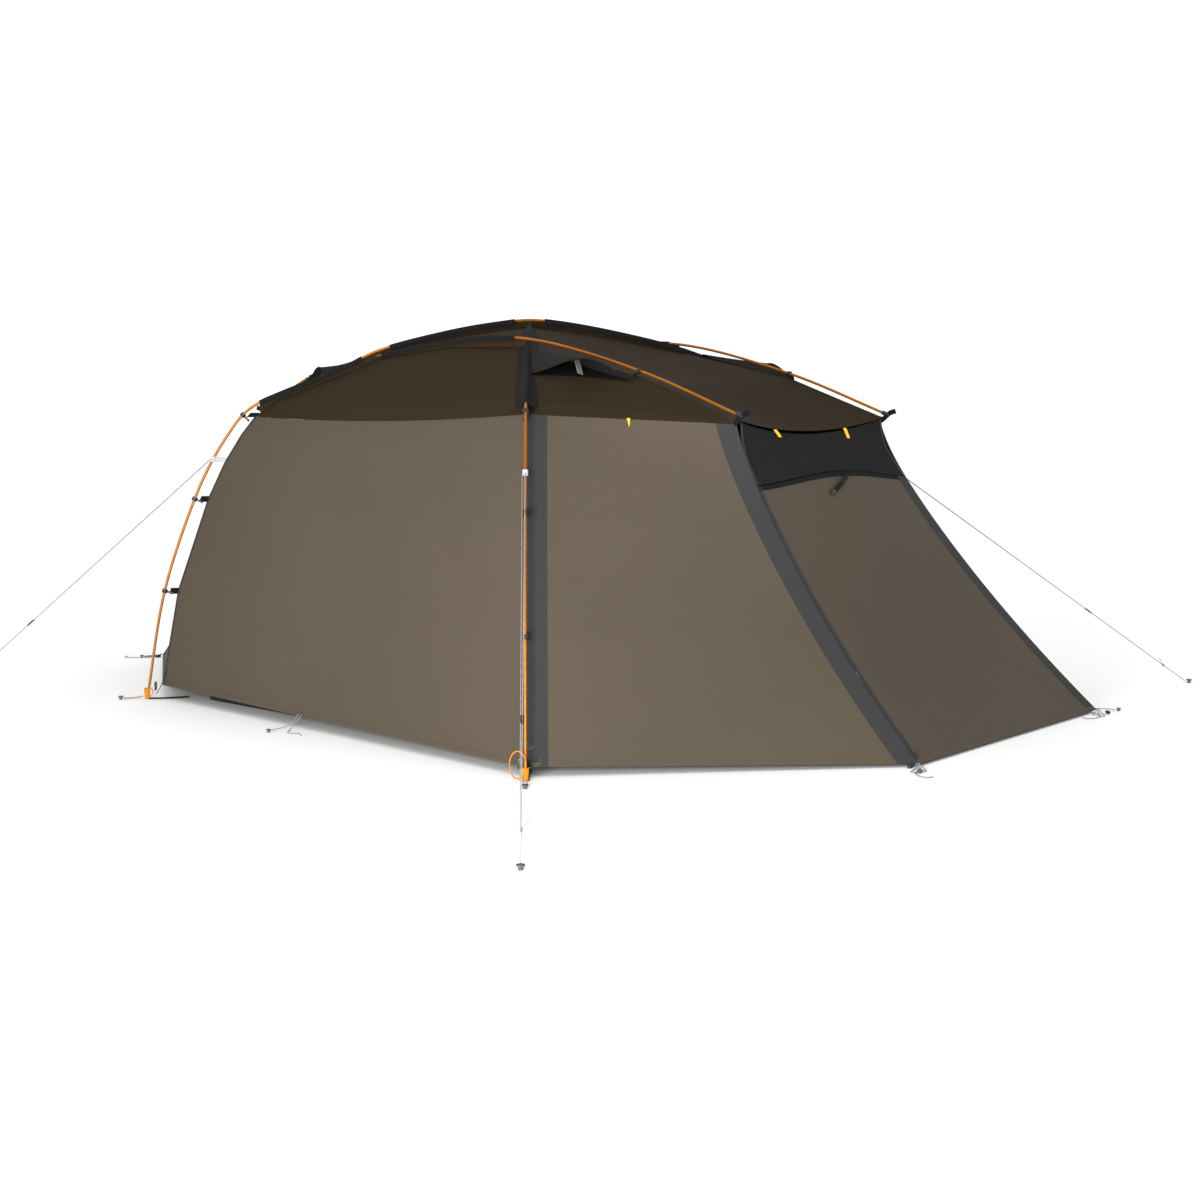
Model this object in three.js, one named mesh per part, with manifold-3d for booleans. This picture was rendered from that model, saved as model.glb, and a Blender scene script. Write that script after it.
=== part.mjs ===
// Four-pole geodesic dome tent with two vestibules, in millimetres.
// X runs from the rear door to the front door, Y from the near side to the far side, Z up.
// The origin is on the ground under the middle of the groundsheet.
import * as THREE from "three";
import { mergeVertices } from "three/addons/utils/BufferGeometryUtils.js";
import Module from "manifold-3d";

const wasm = await Module();
wasm.setup();

// ---- driving dimensions -------------------------------------------------
const POLE_R = 4.75; // 9.5 mm aluminium pole
const POLE_STEPS = { diagonal: 56, roof: 26 };
const APEX = { x: -51, z: 1378 }; // where the two diagonal poles cross
const FEET = { front: { x: 1012, y: 1159 }, rear: { x: -996, y: 1061 } }; // pole feet, far side +y

// Side view of a pole: [distance in from the foot, height]. A steep leg, a bent elbow and a low roof.
const LEG = [
  [0, 2],
  [74, 400],
  [190, 735],
  [253, 868],
  [316, 970],
  [374, 1045],
  [431, 1085],
  [491, 1112],
];
// The roof's height by its share of the way from the elbow to the apex.
const ROOF = [
  [0.27, 1208],
  [0.45, 1286],
  [0.7, 1337],
  [0.85, 1363],
  [1, 1378],
];

const RAIL_Y = 420; // the two roof poles run front to back this far from the middle
const CROSS_X = { front: 323, rear: -425 }; // where a roof pole meets the diagonals
const TIP = { front: { x: 1231, z: 1045 }, rear: { x: -1100, z: 1052 } }; // ends of the roof poles
const RAIL_CLIP = { front: { x: 823, z: 1188 }, rear: { x: -800, z: 1182 } };
const RAIL_MID_Z = 1298;
const CROSSING_LIFT = 10; // a pole passing over another stands this much above the roof line
const CROSSING_DROP = -9;
const BEND_BEFORE_CROSSING = 0.27; // shares of the roof line where a pole starts to lift or drop
const BEND_AFTER_CROSSING = 0.7;
const BEND_AT_APEX = 0.88;

// Cloth sleeves round the poles on the roof. Each stops short of the crossings.
const SLEEVE = { outer: 9.8, inner: 8.1, step: 55, points: 40, gap: 0.022, elbow: 6 };
const SEARCH_STEPS = 400;

const CLOTH = 1.6; // closed solid that stands for a coated fabric
const SEAM_GAP = 2.5; // panels stop this short of the seam line
const FLY_INSET = 48; // the flysheet hangs this far inside the legs
const FLY_DROP = 24; // and this far under the roof poles
const HEM_Z = { front: 30, rear: 50 };
const EAVE = { front: 1052, rear: 1034 }; // the seam of wall and roof

// Ground corners of each vestibule and the top edge of its door.
const PORCH = {
  front: { x: 1771, near: -242, far: 971, topX: 1192, topZ: 1000 },
  rear: { x: -1840, near: -400, far: 850, topX: -1062, topZ: 1000 },
};
const PORCH_HEM_Z = 8;
const PORCH_BOW = 60; // the cloth pulls the porch corners and the door this far inwards at mid height
const DOOR_VENT_SHARE = 0.17; // mesh strip at the top of a door, as a share of its height
const DOOR_TOP_SHARE = 0.02;
const CANOPY_DROP = 6; // the canopy's middle hangs this far under its edges at the back, and more at its lip
const CANOPY_SAG = 40;
const PORCH_TOP_IN = 18; // the porch corners start this far inside the roof poles

const FLOOR = { x: 800, y: 930, rim: 110, thick: 1.6 }; // half sizes of the groundsheet tray
const CABIN = {
  baseX: 778,
  baseY: 908,
  bendX: 687.7,
  bendY: 725.6,
  bendZ: 760,
  topX: 390,
  topY: 300,
  topZ: 1190,
  wall: 2,
  openBelow: 20,
};
const INNER_DOOR = { width: 900, sill: 170, height: 620, gap: 5, slotLong: 600, slotX: 800 };

// A guyline runs from a strap high on the leg to a stake.
const GUY = { r: 2, top: 880, off: 10, pegZ: 6 };
const PEGS = {
  front: { near: [1645, -1846], far: [1750, 1800] },
  rear: { near: [-1530, -1555], far: [-1530, 1555] },
};

const CUP = { reach: 78, offset: 10, width: 24, height: 2.4 }; // webbing under each foot
const LEG_CLIPS = { front: [410, 765], rear: [399, 735] };
const CLIP = { start: 9, end: 44, width: 16, height: 9 };
const CANOPY_BACK = 16; // the cloth stops this far behind the pole tips
const SHOULDER_SHARE = 0.12;
const EAVE_DIP = 18;
const EAVE_PULL = 0.6; // the eave is pulled inwards by this share of its dip
const CORNER_SHARE = 0.35; // a shoulder's low corner is this share of the way from the pole tip to the porch
const RAIL_DROP = { tip: 16, clip: 18, middle: 18 }; // the flysheet hangs this far under the roof poles
const PORCH_GAP = 6;
const DOOR_GAP = 7;
const SLIDER = { out: 12, share: 0.035, reach: 0.3, thick: 4, width: 9, length: 24 };
const VENT = {
  start: 0.18,
  edge: 0.06,
  alongRail: 0.36,
  alongRidge: 0.5,
  clear: 5,
  rise: 52,
  strutAt: 0.62,
  strutFoot: [0.35, 0.7],
  strutClear: 12,
  strutWide: 22,
  strutThick: 2.4,
  strutLean: 3,
};
const STAKE = { r: 11, height: 14, off: 14, taper: 0.8, sides: 12 };

const ENDS = ["front", "rear"];
const SIDES = ["near", "far"];
const signOf = { near: -1, far: 1, front: 1, rear: -1 };

// ---- finishes ------------------------------------------------------------
const finish = (color, roughness, metalness = 0) =>
  new THREE.MeshStandardMaterial({ color, roughness, metalness });
const FINISH = {
  pole: () => finish("#d98a1e", 0.35, 0.9),
  wall: () => finish("#655b4d", 0.75),
  roof: () => finish("#3d3428", 0.75),
  band: () => finish("#3a3a3a", 0.8),
  mesh: () => finish("#2b2b2b", 0.95),
  clip: () => finish("#1b1b1c", 0.5),
  metal: () => finish("#6c6c70", 0.4, 0.9),
  cord: () => finish("#c8c8cc", 0.8),
  strut: () => finish("#8d8576", 0.7),
  webbing: () => finish("#d98a1e", 0.8),
  inner: () => finish("#b9b4a6", 0.85),
  floor: () => finish("#2f3134", 0.6),
};

const tent = new THREE.Group();

// Adds a geometry to the tent as a named piece.
function piece(name, geometry, material) {
  const mesh = new THREE.Mesh(geometry, material);
  mesh.name = name;
  tent.add(mesh);
  return mesh;
}

const V = (x, y, z) => new THREE.Vector3(x, y, z);
const mix = (a, b, t) => a + (b - a) * t;
const lerp = (a, b) => (t) => a.clone().lerp(b, t);

// Straight-line lookup in a list of [key, value] pairs.
function look(list, key) {
  let i = 1;
  while (i < list.length - 1 && list[i][0] < key) i += 1;
  const [k0, v0] = list[i - 1];
  const [k1, v1] = list[i];
  return mix(v0, v1, (key - k0) / (k1 - k0));
}

// ---- solids ----------------------------------------------------------------
// A closed thin solid from a grid of points: point(u, v) is its outer face, and it is thickened inwards.
function sheetSolid(point, nu, nv, thick = CLOTH, split = () => false) {
  const at = (i, j) => point(i / nu, j / nv);
  const outer = [];
  const inner = [];
  for (let j = 0; j <= nv; j += 1) {
    for (let i = 0; i <= nu; i += 1) {
      const p = at(i, j);
      const du = at(Math.min(i + 1, nu), j).sub(at(Math.max(i - 1, 0), j));
      const dv = at(i, Math.min(j + 1, nv)).sub(at(i, Math.max(j - 1, 0)));
      const normal = du.cross(dv).normalize();
      outer.push(p);
      inner.push(p.clone().addScaledVector(normal, -thick));
    }
  }
  const points = [...outer, ...inner];
  const id = (i, j, layer) => layer * outer.length + j * (nu + 1) + i;
  const faces = [];
  const quad = (a, b, c, d) => faces.push(a, b, c, a, c, d);
  for (let j = 0; j < nv; j += 1) {
    for (let i = 0; i < nu; i += 1) {
      const [a, b, c, d] = [id(i, j, 0), id(i + 1, j, 0), id(i + 1, j + 1, 0), id(i, j + 1, 0)];
      const n = outer.length;
      if (split((i + 0.5) / nu, (j + 0.5) / nv)) {
        quad(b, c, d, a);
        quad(a + n, d + n, c + n, b + n);
      } else {
        quad(a, b, c, d);
        faces.push(a + n, c + n, b + n, a + n, d + n, c + n);
      }
    }
  }
  for (let i = 0; i < nu; i += 1) {
    quad(id(i, 0, 1), id(i + 1, 0, 1), id(i + 1, 0, 0), id(i, 0, 0));
    quad(id(i, nv, 0), id(i + 1, nv, 0), id(i + 1, nv, 1), id(i, nv, 1));
  }
  for (let j = 0; j < nv; j += 1) {
    quad(id(0, j, 0), id(0, j + 1, 0), id(0, j + 1, 1), id(0, j, 1));
    quad(id(nu, j, 1), id(nu, j + 1, 1), id(nu, j + 1, 0), id(nu, j, 0));
  }
  const geometry = new THREE.BufferGeometry().setFromPoints(points);
  geometry.setIndex(faces);
  return geometry;
}

// A surface stretched between four edges: bottom and top run with u, left and right run with v.
function stretched(bottom, top, left, right, gap = SEAM_GAP) {
  const width = bottom(0).distanceTo(bottom(1)) / 2 + top(0).distanceTo(top(1)) / 2;
  const height = left(0).distanceTo(left(1)) / 2 + right(0).distanceTo(right(1)) / 2;
  const eu = gap / width;
  const ev = gap / height;
  const corners = [bottom(0), bottom(1), top(0), top(1)];
  return (s, t) => {
    const u = mix(eu, 1 - eu, s);
    const v = mix(ev, 1 - ev, t);
    const p = bottom(u).multiplyScalar(1 - v).addScaledVector(top(u), v);
    p.addScaledVector(left(v), 1 - u).addScaledVector(right(v), u);
    p.addScaledVector(corners[0], -(1 - u) * (1 - v)).addScaledVector(corners[1], -u * (1 - v));
    return p.addScaledVector(corners[2], -(1 - u) * v).addScaledVector(corners[3], -u * v);
  };
}

// A round bar along a curve; inner radius leaves a tube open at both ends.
function bar(curve, radius, steps, sides = 8, innerRadius = 0) {
  const ring = (r) => {
    const list = [];
    for (let k = 0; k < sides; k += 1) {
      const angle = (2 * Math.PI * k) / sides;
      list.push(new THREE.Vector2(r * Math.cos(angle), r * Math.sin(angle)));
    }
    return list;
  };
  const section = new THREE.Shape(ring(radius));
  if (innerRadius) section.holes.push(new THREE.Path(ring(innerRadius)));
  return new THREE.ExtrudeGeometry(section, { steps, bevelEnabled: false, extrudePath: curve });
}

// A manifold solid of a closed geometry, and back again.
function solid(geometry) {
  const bare = geometry.clone();
  bare.deleteAttribute("normal");
  bare.deleteAttribute("uv");
  const merged = mergeVertices(bare, 1e-3);
  return new wasm.Manifold(
    new wasm.Mesh({
      numProp: 3,
      vertProperties: new Float32Array(merged.attributes.position.array),
      triVerts: new Uint32Array(merged.index.array),
    }),
  );
}
function geometryOf(manifold) {
  const mesh = manifold.getMesh();
  const geometry = new THREE.BufferGeometry();
  geometry.setAttribute("position", new THREE.BufferAttribute(mesh.vertProperties, 3));
  geometry.setIndex(new THREE.BufferAttribute(mesh.triVerts, 1));
  return geometry;
}
function box(sx, sy, sz, at) {
  const geometry = new THREE.BoxGeometry(sx, sy, sz);
  return geometry.translate(at.x, at.y, at.z);
}

// ---- the pole lines ----------------------------------------------------------
// A point of a diagonal pole: reach is measured in plan from the foot towards the apex.
function onDiagonal(end, side, reach, z) {
  const foot = new THREE.Vector2(FEET[end].x, signOf[side] * FEET[end].y);
  const way = new THREE.Vector2(APEX.x, 0).sub(foot).normalize();
  return V(foot.x + way.x * reach, foot.y + way.y * reach, z);
}
const reachAt = (z) => look(LEG.map(([reach, height]) => [height, reach]), z);
const halfLength = (end) => Math.hypot(FEET[end].x - APEX.x, FEET[end].y);

// A roof point of a diagonal, by its share of the way from the elbow to the apex.
function onRoof(end, side, share, lift = 0) {
  const elbow = LEG[LEG.length - 1];
  const z = look([[0, elbow[1]], ...ROOF], share);
  return onDiagonal(end, side, mix(elbow[0], halfLength(end), share), z + lift);
}
const crossShare = (end) => {
  const elbow = LEG[LEG.length - 1][0];
  const reach = halfLength(end) * (1 - RAIL_Y / FEET[end].y);
  return (reach - elbow) / (halfLength(end) - elbow);
};

// Half of a diagonal pole from its foot to just short of the apex.
function halfDiagonal(end, side, apexLift) {
  const points = LEG.map(([reach, z]) => onDiagonal(end, side, reach, z));
  const crossLift = end === "front" ? CROSSING_DROP : CROSSING_LIFT;
  const bend = [
    [BEND_BEFORE_CROSSING, crossLift * BEND_AFTER_CROSSING],
    [crossShare(end), crossLift],
    [BEND_AFTER_CROSSING, mix(crossLift, apexLift, BEND_AFTER_CROSSING)],
    [BEND_AT_APEX, apexLift],
  ];
  bend.forEach(([share, lift]) => points.push(onRoof(end, side, share, lift)));
  return points;
}

function diagonalCurve(rearSide, frontSide, apexLift) {
  return new THREE.CatmullRomCurve3([
    ...halfDiagonal("rear", rearSide, apexLift),
    V(APEX.x, 0, APEX.z + apexLift),
    ...halfDiagonal("front", frontSide, apexLift).reverse(),
  ]);
}

function railCurve(side) {
  const y = signOf[side] * RAIL_Y;
  const crossZ = (end) => onRoof(end, side, crossShare(end)).z;
  return new THREE.CatmullRomCurve3([
    V(TIP.rear.x, y, TIP.rear.z),
    V(RAIL_CLIP.rear.x, y, RAIL_CLIP.rear.z),
    V(CROSS_X.rear, y, crossZ("rear") + CROSSING_DROP),
    V(APEX.x, y, RAIL_MID_Z),
    V(CROSS_X.front, y, crossZ("front") + CROSSING_LIFT),
    V(RAIL_CLIP.front.x, y, RAIL_CLIP.front.z),
    V(TIP.front.x, y, TIP.front.z),
  ]);
}

// ---- frame ---------------------------------------------------------------------
const diagonals = {
  a: diagonalCurve("near", "far", CROSSING_LIFT), // rear near foot to front far foot, on top
  b: diagonalCurve("far", "near", CROSSING_DROP),
};
const rails = { near: railCurve("near"), far: railCurve("far") };
piece("diagonal_pole_a", bar(diagonals.a, POLE_R, POLE_STEPS.diagonal), FINISH.pole());
piece("diagonal_pole_b", bar(diagonals.b, POLE_R, POLE_STEPS.diagonal), FINISH.pole());
SIDES.forEach((side) => {
  piece("roof_pole_" + side, bar(rails[side], POLE_R, POLE_STEPS.roof), FINISH.pole());
});

// Part of a curve, from one share of its length to another.
function partOf(curve, from, to, count) {
  const points = [];
  for (let i = 0; i <= count; i += 1) points.push(curve.getPointAt(mix(from, to, i / count)));
  return new THREE.CatmullRomCurve3(points);
}

// The share of a curve's length that is nearest to a point.
function shareNear(curve, target) {
  let best = 0;
  for (let i = 0; i <= SEARCH_STEPS; i += 1) {
    const share = i / SEARCH_STEPS;
    const away = curve.getPointAt(share).distanceTo(target);
    if (away < curve.getPointAt(best).distanceTo(target)) best = share;
  }
  return best;
}

function sleeves(name, curve, stops) {
  stops.slice(1).forEach((stop, i) => {
    const from = stops[i] + (i ? SLEEVE.gap : 0);
    const to = stop - (i < stops.length - 2 ? SLEEVE.gap : 0);
    const line = partOf(curve, from, to, SLEEVE.points);
    const steps = Math.round(line.getLength() / SLEEVE.step);
    piece(name + "_" + (i + 1), bar(line, SLEEVE.outer, steps, 8, SLEEVE.inner), FINISH.band());
  });
}
const elbowPoint = (end, side) => onDiagonal(end, side, ...LEG[SLEEVE.elbow]);
const apexPoint = V(APEX.x, 0, APEX.z);
sleeves("sleeve_a", diagonals.a, [
  shareNear(diagonals.a, elbowPoint("rear", "near")),
  shareNear(diagonals.a, onRoof("rear", "near", crossShare("rear"))),
  shareNear(diagonals.a, apexPoint),
  shareNear(diagonals.a, elbowPoint("front", "far")),
]);
sleeves("sleeve_b", diagonals.b, [
  shareNear(diagonals.b, elbowPoint("rear", "far")),
  shareNear(diagonals.b, elbowPoint("front", "near")),
]);

// A webbing cup that holds each foot, flat on the ground inside the pole.
ENDS.forEach((end) =>
  SIDES.forEach((side) => {
    const foot = onDiagonal(end, side, 0, 0);
    const tray = onDiagonal(end, side, CUP.reach, CUP.height / 2);
    const strip = box(CUP.reach * 2 - 2 * CUP.offset, CUP.width, CUP.height, V(0, 0, 0));
    strip.rotateZ(Math.atan2(tray.y - foot.y, tray.x - foot.x));
    strip.translate(tray.x, tray.y, tray.z);
    piece(["foot_strap", end, side].join("_"), strip, FINISH.webbing());
  }),
);

// Plastic clips that hang the flysheet from the legs.
ENDS.forEach((end) =>
  SIDES.forEach((side) =>
    LEG_CLIPS[end].forEach((z, i) => {
      const reach = reachAt(z);
      const from = onDiagonal(end, side, reach + CLIP.start, z);
      const to = onDiagonal(end, side, reach + CLIP.end, z);
      const shape = box(CLIP.end - CLIP.start, CLIP.width, CLIP.height, V(0, 0, 0));
      shape.rotateZ(Math.atan2(to.y - from.y, to.x - from.x));
      const middle = from.clone().lerp(to, 0.5);
      shape.translate(middle.x, middle.y, middle.z);
      piece(["leg_clip", end, side, i + 1].join("_"), shape, FINISH.clip());
    }),
  ),
);

// ---- flysheet ------------------------------------------------------------------
const railFly = (side) => (x) => {
  const y = signOf[side] * RAIL_Y;
  const curve = [
    [TIP.rear.x, TIP.rear.z - RAIL_DROP.tip],
    [RAIL_CLIP.rear.x, RAIL_CLIP.rear.z - RAIL_DROP.clip],
    [CROSS_X.rear, onRoof("rear", side, crossShare("rear")).z - FLY_DROP],
    [APEX.x, RAIL_MID_Z - RAIL_DROP.middle],
    [CROSS_X.front, onRoof("front", side, crossShare("front")).z - FLY_DROP],
    [RAIL_CLIP.front.x, RAIL_CLIP.front.z - RAIL_DROP.clip],
    [TIP.front.x, TIP.front.z - RAIL_DROP.tip],
  ];
  return V(x, y, look(curve, x));
};
const flyTipX = (end) => TIP[end].x - signOf[end] * CANOPY_BACK;
const alongRail = (side, fromX, toX) => (t) => railFly(side)(mix(fromX, toX, t));

// The flysheet's edge beside a leg, from the hem to the eave, and its line under the roof pole.
const legEdge = (end, side) => (t) => {
  const z = mix(HEM_Z[end], EAVE[end], t);
  return onDiagonal(end, side, reachAt(z) + FLY_INSET, z);
};
const shoulder = (end, side) => legEdge(end, side)(1);
const ridgeLine = (end, side) => (t) => {
  if (t < SHOULDER_SHARE) {
    const start = onRoof(end, side, 0, -FLY_DROP);
    return shoulder(end, side).lerp(start, t / SHOULDER_SHARE);
  }
  const share = mix(0, crossShare(end), (t - SHOULDER_SHARE) / (1 - SHOULDER_SHARE));
  return onRoof(end, side, share, -FLY_DROP);
};
const eave = (side) => (t) => {
  const p = shoulder("rear", side).lerp(shoulder("front", side), t);
  const dip = 4 * t * (1 - t);
  return p.add(V(0, -signOf[side] * EAVE_DIP * EAVE_PULL * dip, -EAVE_DIP * dip));
};
const porchCorner = (end, side) =>
  V(PORCH[end].x, side === "near" ? PORCH[end].near : PORCH[end].far, PORCH_HEM_Z);
const porchTop = (end, side) =>
  V(PORCH[end].topX, signOf[side] * (RAIL_Y - PORCH_TOP_IN), PORCH[end].topZ);

// A porch corner from the canopy (0) down to the ground (1), pulled inwards between its ends.
const porchEdge = (end, side) => (t) => {
  const p = porchTop(end, side).lerp(porchCorner(end, side), t);
  return p.add(V(-signOf[end] * PORCH_BOW * 4 * t * (1 - t), 0, 0));
};

// The outer face of a sheet is on its left-hand side, so mirrored panels are read backwards.
function addPanel(name, surface, reversed, nu, nv, material, split) {
  const point = reversed ? (u, v) => surface(1 - u, v) : surface;
  piece(name, sheetSolid(point, nu, nv, CLOTH, split), material);
}

const shoulderSurface = {};
SIDES.forEach((side) => {
  const flip = side === "far";
  const hem = lerp(legEdge("rear", side)(0), legEdge("front", side)(0));
  const wall = stretched(hem, eave(side), legEdge("rear", side), legEdge("front", side));
  addPanel("fly_wall_" + side, wall, flip, 8, 7, FINISH.wall());

  const top = alongRail(side, CROSS_X.rear, CROSS_X.front);
  const roof = stretched(eave(side), top, ridgeLine("rear", side), ridgeLine("front", side));
  addPanel("fly_roof_" + side, roof, flip, 8, 5, FINISH.roof());

  ENDS.forEach((end) => {
    const turned = flip !== (end === "rear");
    const tip = railFly(side)(flyTipX(end));
    const corner = porchTop(end, side);
    const low = lerp(shoulder(end, side), tip.clone().lerp(corner, CORNER_SHARE));
    const beside = V(0, signOf[side] * SEAM_GAP, 0);
    const high = (t) => alongRail(side, CROSS_X[end], flyTipX(end))(t).add(beside);
    const shape = stretched(low, high, ridgeLine(end, side), lerp(low(1), high(1)));
    shoulderSurface[end + side] = shape;
    addPanel(["fly_shoulder", end, side].join("_"), shape, turned, 7, 4, FINISH.roof());

    const hemLine = lerp(legEdge(end, side)(0), porchCorner(end, side));
    const under = lerp(shoulder(end, side), corner);
    const edge = (t) => porchEdge(end, side)(1 - t);
    const porch = stretched(hemLine, under, legEdge(end, side), edge, PORCH_GAP);
    addPanel(["porch_wall", end, side].join("_"), porch, turned, 5, 6, FINISH.wall());
  });
});

// The top of the roof: straight between the diagonals, arched over the roof poles.
function topPoint(x, y) {
  const end = x > APEX.x ? "front" : "rear";
  const share = Math.max(Math.abs((x - APEX.x) / (CROSS_X[end] - APEX.x)), Math.abs(y / RAIL_Y));
  const line = look([[0, 0], ...ROOF], mix(1, crossShare(end), share));
  const side = y < 0 ? "near" : "far";
  const edge = railFly(side)(x).z - (onRoof(end, side, crossShare(end)).z - FLY_DROP);
  return V(x, y, line - FLY_DROP + edge * (y / RAIL_Y) ** 2);
}
const half = RAIL_Y - SEAM_GAP;
const roofTop = (u, v) =>
  topPoint(mix(CROSS_X.rear + SEAM_GAP, CROSS_X.front - SEAM_GAP, u), mix(-half, half, v));
addPanel("fly_roof_top", roofTop, false, 8, 8, FINISH.roof(), (u, v) => u < 0.5 === v > 0.5);

ENDS.forEach((end) => {
  const from = CROSS_X[end] + signOf[end] * SEAM_GAP;
  const canopy = (u, v) => {
    const x = mix(from, flyTipX(end), u);
    const p = railFly("near")(x).setY(mix(-half, half, v));
    return p.setZ(p.z - (CANOPY_DROP + CANOPY_SAG * u) * (1 - (p.y / RAIL_Y) ** 2));
  };
  addPanel("canopy_" + end, canopy, end === "rear", 6, 8, FINISH.roof());
});

// ---- doors ---------------------------------------------------------------------
// Each door lies between the porch corners: mesh vent above, cloth door below, hung from the seam between.
ENDS.forEach((end) => {
  const near = porchEdge(end, "near");
  const far = porchEdge(end, "far");
  const row = (share) => (t) => near(share).lerp(far(share), t);
  const strip = (from, to) => {
    const side = (name) => (t) => porchEdge(end, name)(mix(to, from, t));
    return stretched(row(to), row(from), side("near"), side("far"), DOOR_GAP);
  };
  const turned = end === "rear";
  addPanel("door_vent_" + end, strip(DOOR_TOP_SHARE, DOOR_VENT_SHARE), turned, 4, 1, FINISH.mesh());
  addPanel("door_" + end, strip(DOOR_VENT_SHARE, 1), turned, 4, 6, FINISH.wall());
});

// A zip slider at the near bottom corner of the front door, outside the cloth.
const zipStart = porchEdge("front", "near")(1 - SLIDER.share);
const zipRun = porchEdge("front", "near")(1 - SLIDER.reach).sub(zipStart).normalize();
const zipOut = V(zipRun.z, 0, -zipRun.x).multiplyScalar(SLIDER.out);
const sliderShape = box(SLIDER.thick, SLIDER.width, SLIDER.length, V(0, 0, 0));
sliderShape.applyQuaternion(new THREE.Quaternion().setFromUnitVectors(V(0, 0, 1), zipRun));
const sliderAt = zipStart.add(zipOut);
sliderShape.translate(sliderAt.x, sliderAt.y, sliderAt.z);
piece("zip_slider", sliderShape, FINISH.clip());

// ---- roof vents ------------------------------------------------------------------
// A three-cornered hood over a mesh opening in each shoulder. Its lip is held up by a short strut.
ENDS.forEach((end) =>
  SIDES.forEach((side) => {
    const surface = shoulderSurface[end + side];
    const rise = (u, v) => V(0, 0, VENT.clear + VENT.rise * u * u * 4 * v * (1 - v));
    const hood = (a, b) => {
      const u = mix(VENT.start, 1, a);
      const across = mix(VENT.edge, VENT.alongRail, b) * u;
      const up = 1 - mix(VENT.alongRidge, VENT.edge, b) * u;
      return surface(across, up).add(rise(u, b));
    };
    const turned = (side === "far") !== (end === "rear");
    addPanel(["vent_hood", end, side].join("_"), hood, turned, 4, 6, FINISH.band());

    const head = hood(1, VENT.strutAt).add(V(signOf[end] * VENT.strutLean, 0, -VENT.strutClear));
    const foot = surface(...VENT.strutFoot).add(V(0, 0, VENT.strutClear));
    const run = head.clone().sub(foot);
    const strut = box(VENT.strutThick, VENT.strutWide, run.length(), V(0, 0, 0));
    const turn = new THREE.Quaternion().setFromUnitVectors(V(0, 0, 1), run.clone().normalize());
    strut.applyQuaternion(turn);
    const middle = foot.clone().lerp(head, 0.5);
    strut.translate(middle.x, middle.y, middle.z);
    piece(["vent_strut", end, side].join("_"), strut, FINISH.strut());
  }),
);

// ---- inner tent ------------------------------------------------------------------
const tray = solid(box(2 * FLOOR.x, 2 * FLOOR.y, FLOOR.rim, V(0, 0, FLOOR.rim / 2)));
const walls = 2 * FLOOR.thick;
const cutAt = V(0, 0, FLOOR.rim / 2 + FLOOR.thick);
const cut = box(2 * FLOOR.x - walls, 2 * FLOOR.y - walls, FLOOR.rim, cutAt);
piece("groundsheet", geometryOf(tray.subtract(solid(cut))), FINISH.floor());

// A closed block whose sides taper from the floor to the shoulder and on to the roof.
function cabinBlock(shrink, bottom) {
  const rings = [
    [CABIN.baseX - shrink, CABIN.baseY - shrink, bottom],
    [CABIN.bendX - shrink, CABIN.bendY - shrink, CABIN.bendZ],
    [CABIN.topX - shrink, CABIN.topY - shrink, CABIN.topZ - shrink],
  ];
  const level = ([x, y, z]) => [V(-x, -y, z), V(x, -y, z), V(x, y, z), V(-x, y, z)];
  const points = rings.flatMap(level);
  const faces = [0, 2, 1, 0, 3, 2, 8, 9, 10, 8, 10, 11];
  for (let ring = 0; ring < 2; ring += 1) {
    for (let k = 0; k < 4; k += 1) {
      const [a, b] = [ring * 4 + k, ring * 4 + ((k + 1) % 4)];
      faces.push(a, b, b + 4, a, b + 4, a + 4);
    }
  }
  const geometry = new THREE.BufferGeometry().setFromPoints(points);
  geometry.setIndex(faces);
  return geometry;
}
function doorSlot(end) {
  const middle = V(signOf[end] * INNER_DOOR.slotX, 0, INNER_DOOR.sill + INNER_DOOR.height / 2);
  return box(INNER_DOOR.slotLong, INNER_DOOR.width, INNER_DOOR.height, middle);
}
const cabinFoot = FLOOR.rim + 1;
const hollow = solid(cabinBlock(CABIN.wall, cabinFoot - CABIN.openBelow));
const shell = solid(cabinBlock(0, cabinFoot)).subtract(hollow);
const openShell = ENDS.reduce((body, end) => body.subtract(solid(doorSlot(end))), shell);
piece("inner_cabin", geometryOf(openShell), FINISH.inner());

const wallX = (z) => mix(CABIN.baseX, CABIN.bendX, (z - cabinFoot) / (CABIN.bendZ - cabinFoot));
ENDS.forEach((end) => {
  const low = INNER_DOOR.sill + INNER_DOOR.gap;
  const high = Math.min(INNER_DOOR.sill + INNER_DOOR.height, CABIN.bendZ) - INNER_DOOR.gap;
  const wide = INNER_DOOR.width / 2 - INNER_DOOR.gap;
  const face = (u, v) => {
    const z = mix(low, high, v);
    return V(signOf[end] * wallX(z), mix(-wide, wide, u), z);
  };
  addPanel("inner_door_" + end, face, end === "rear", 2, 1, FINISH.inner());
});

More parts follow.
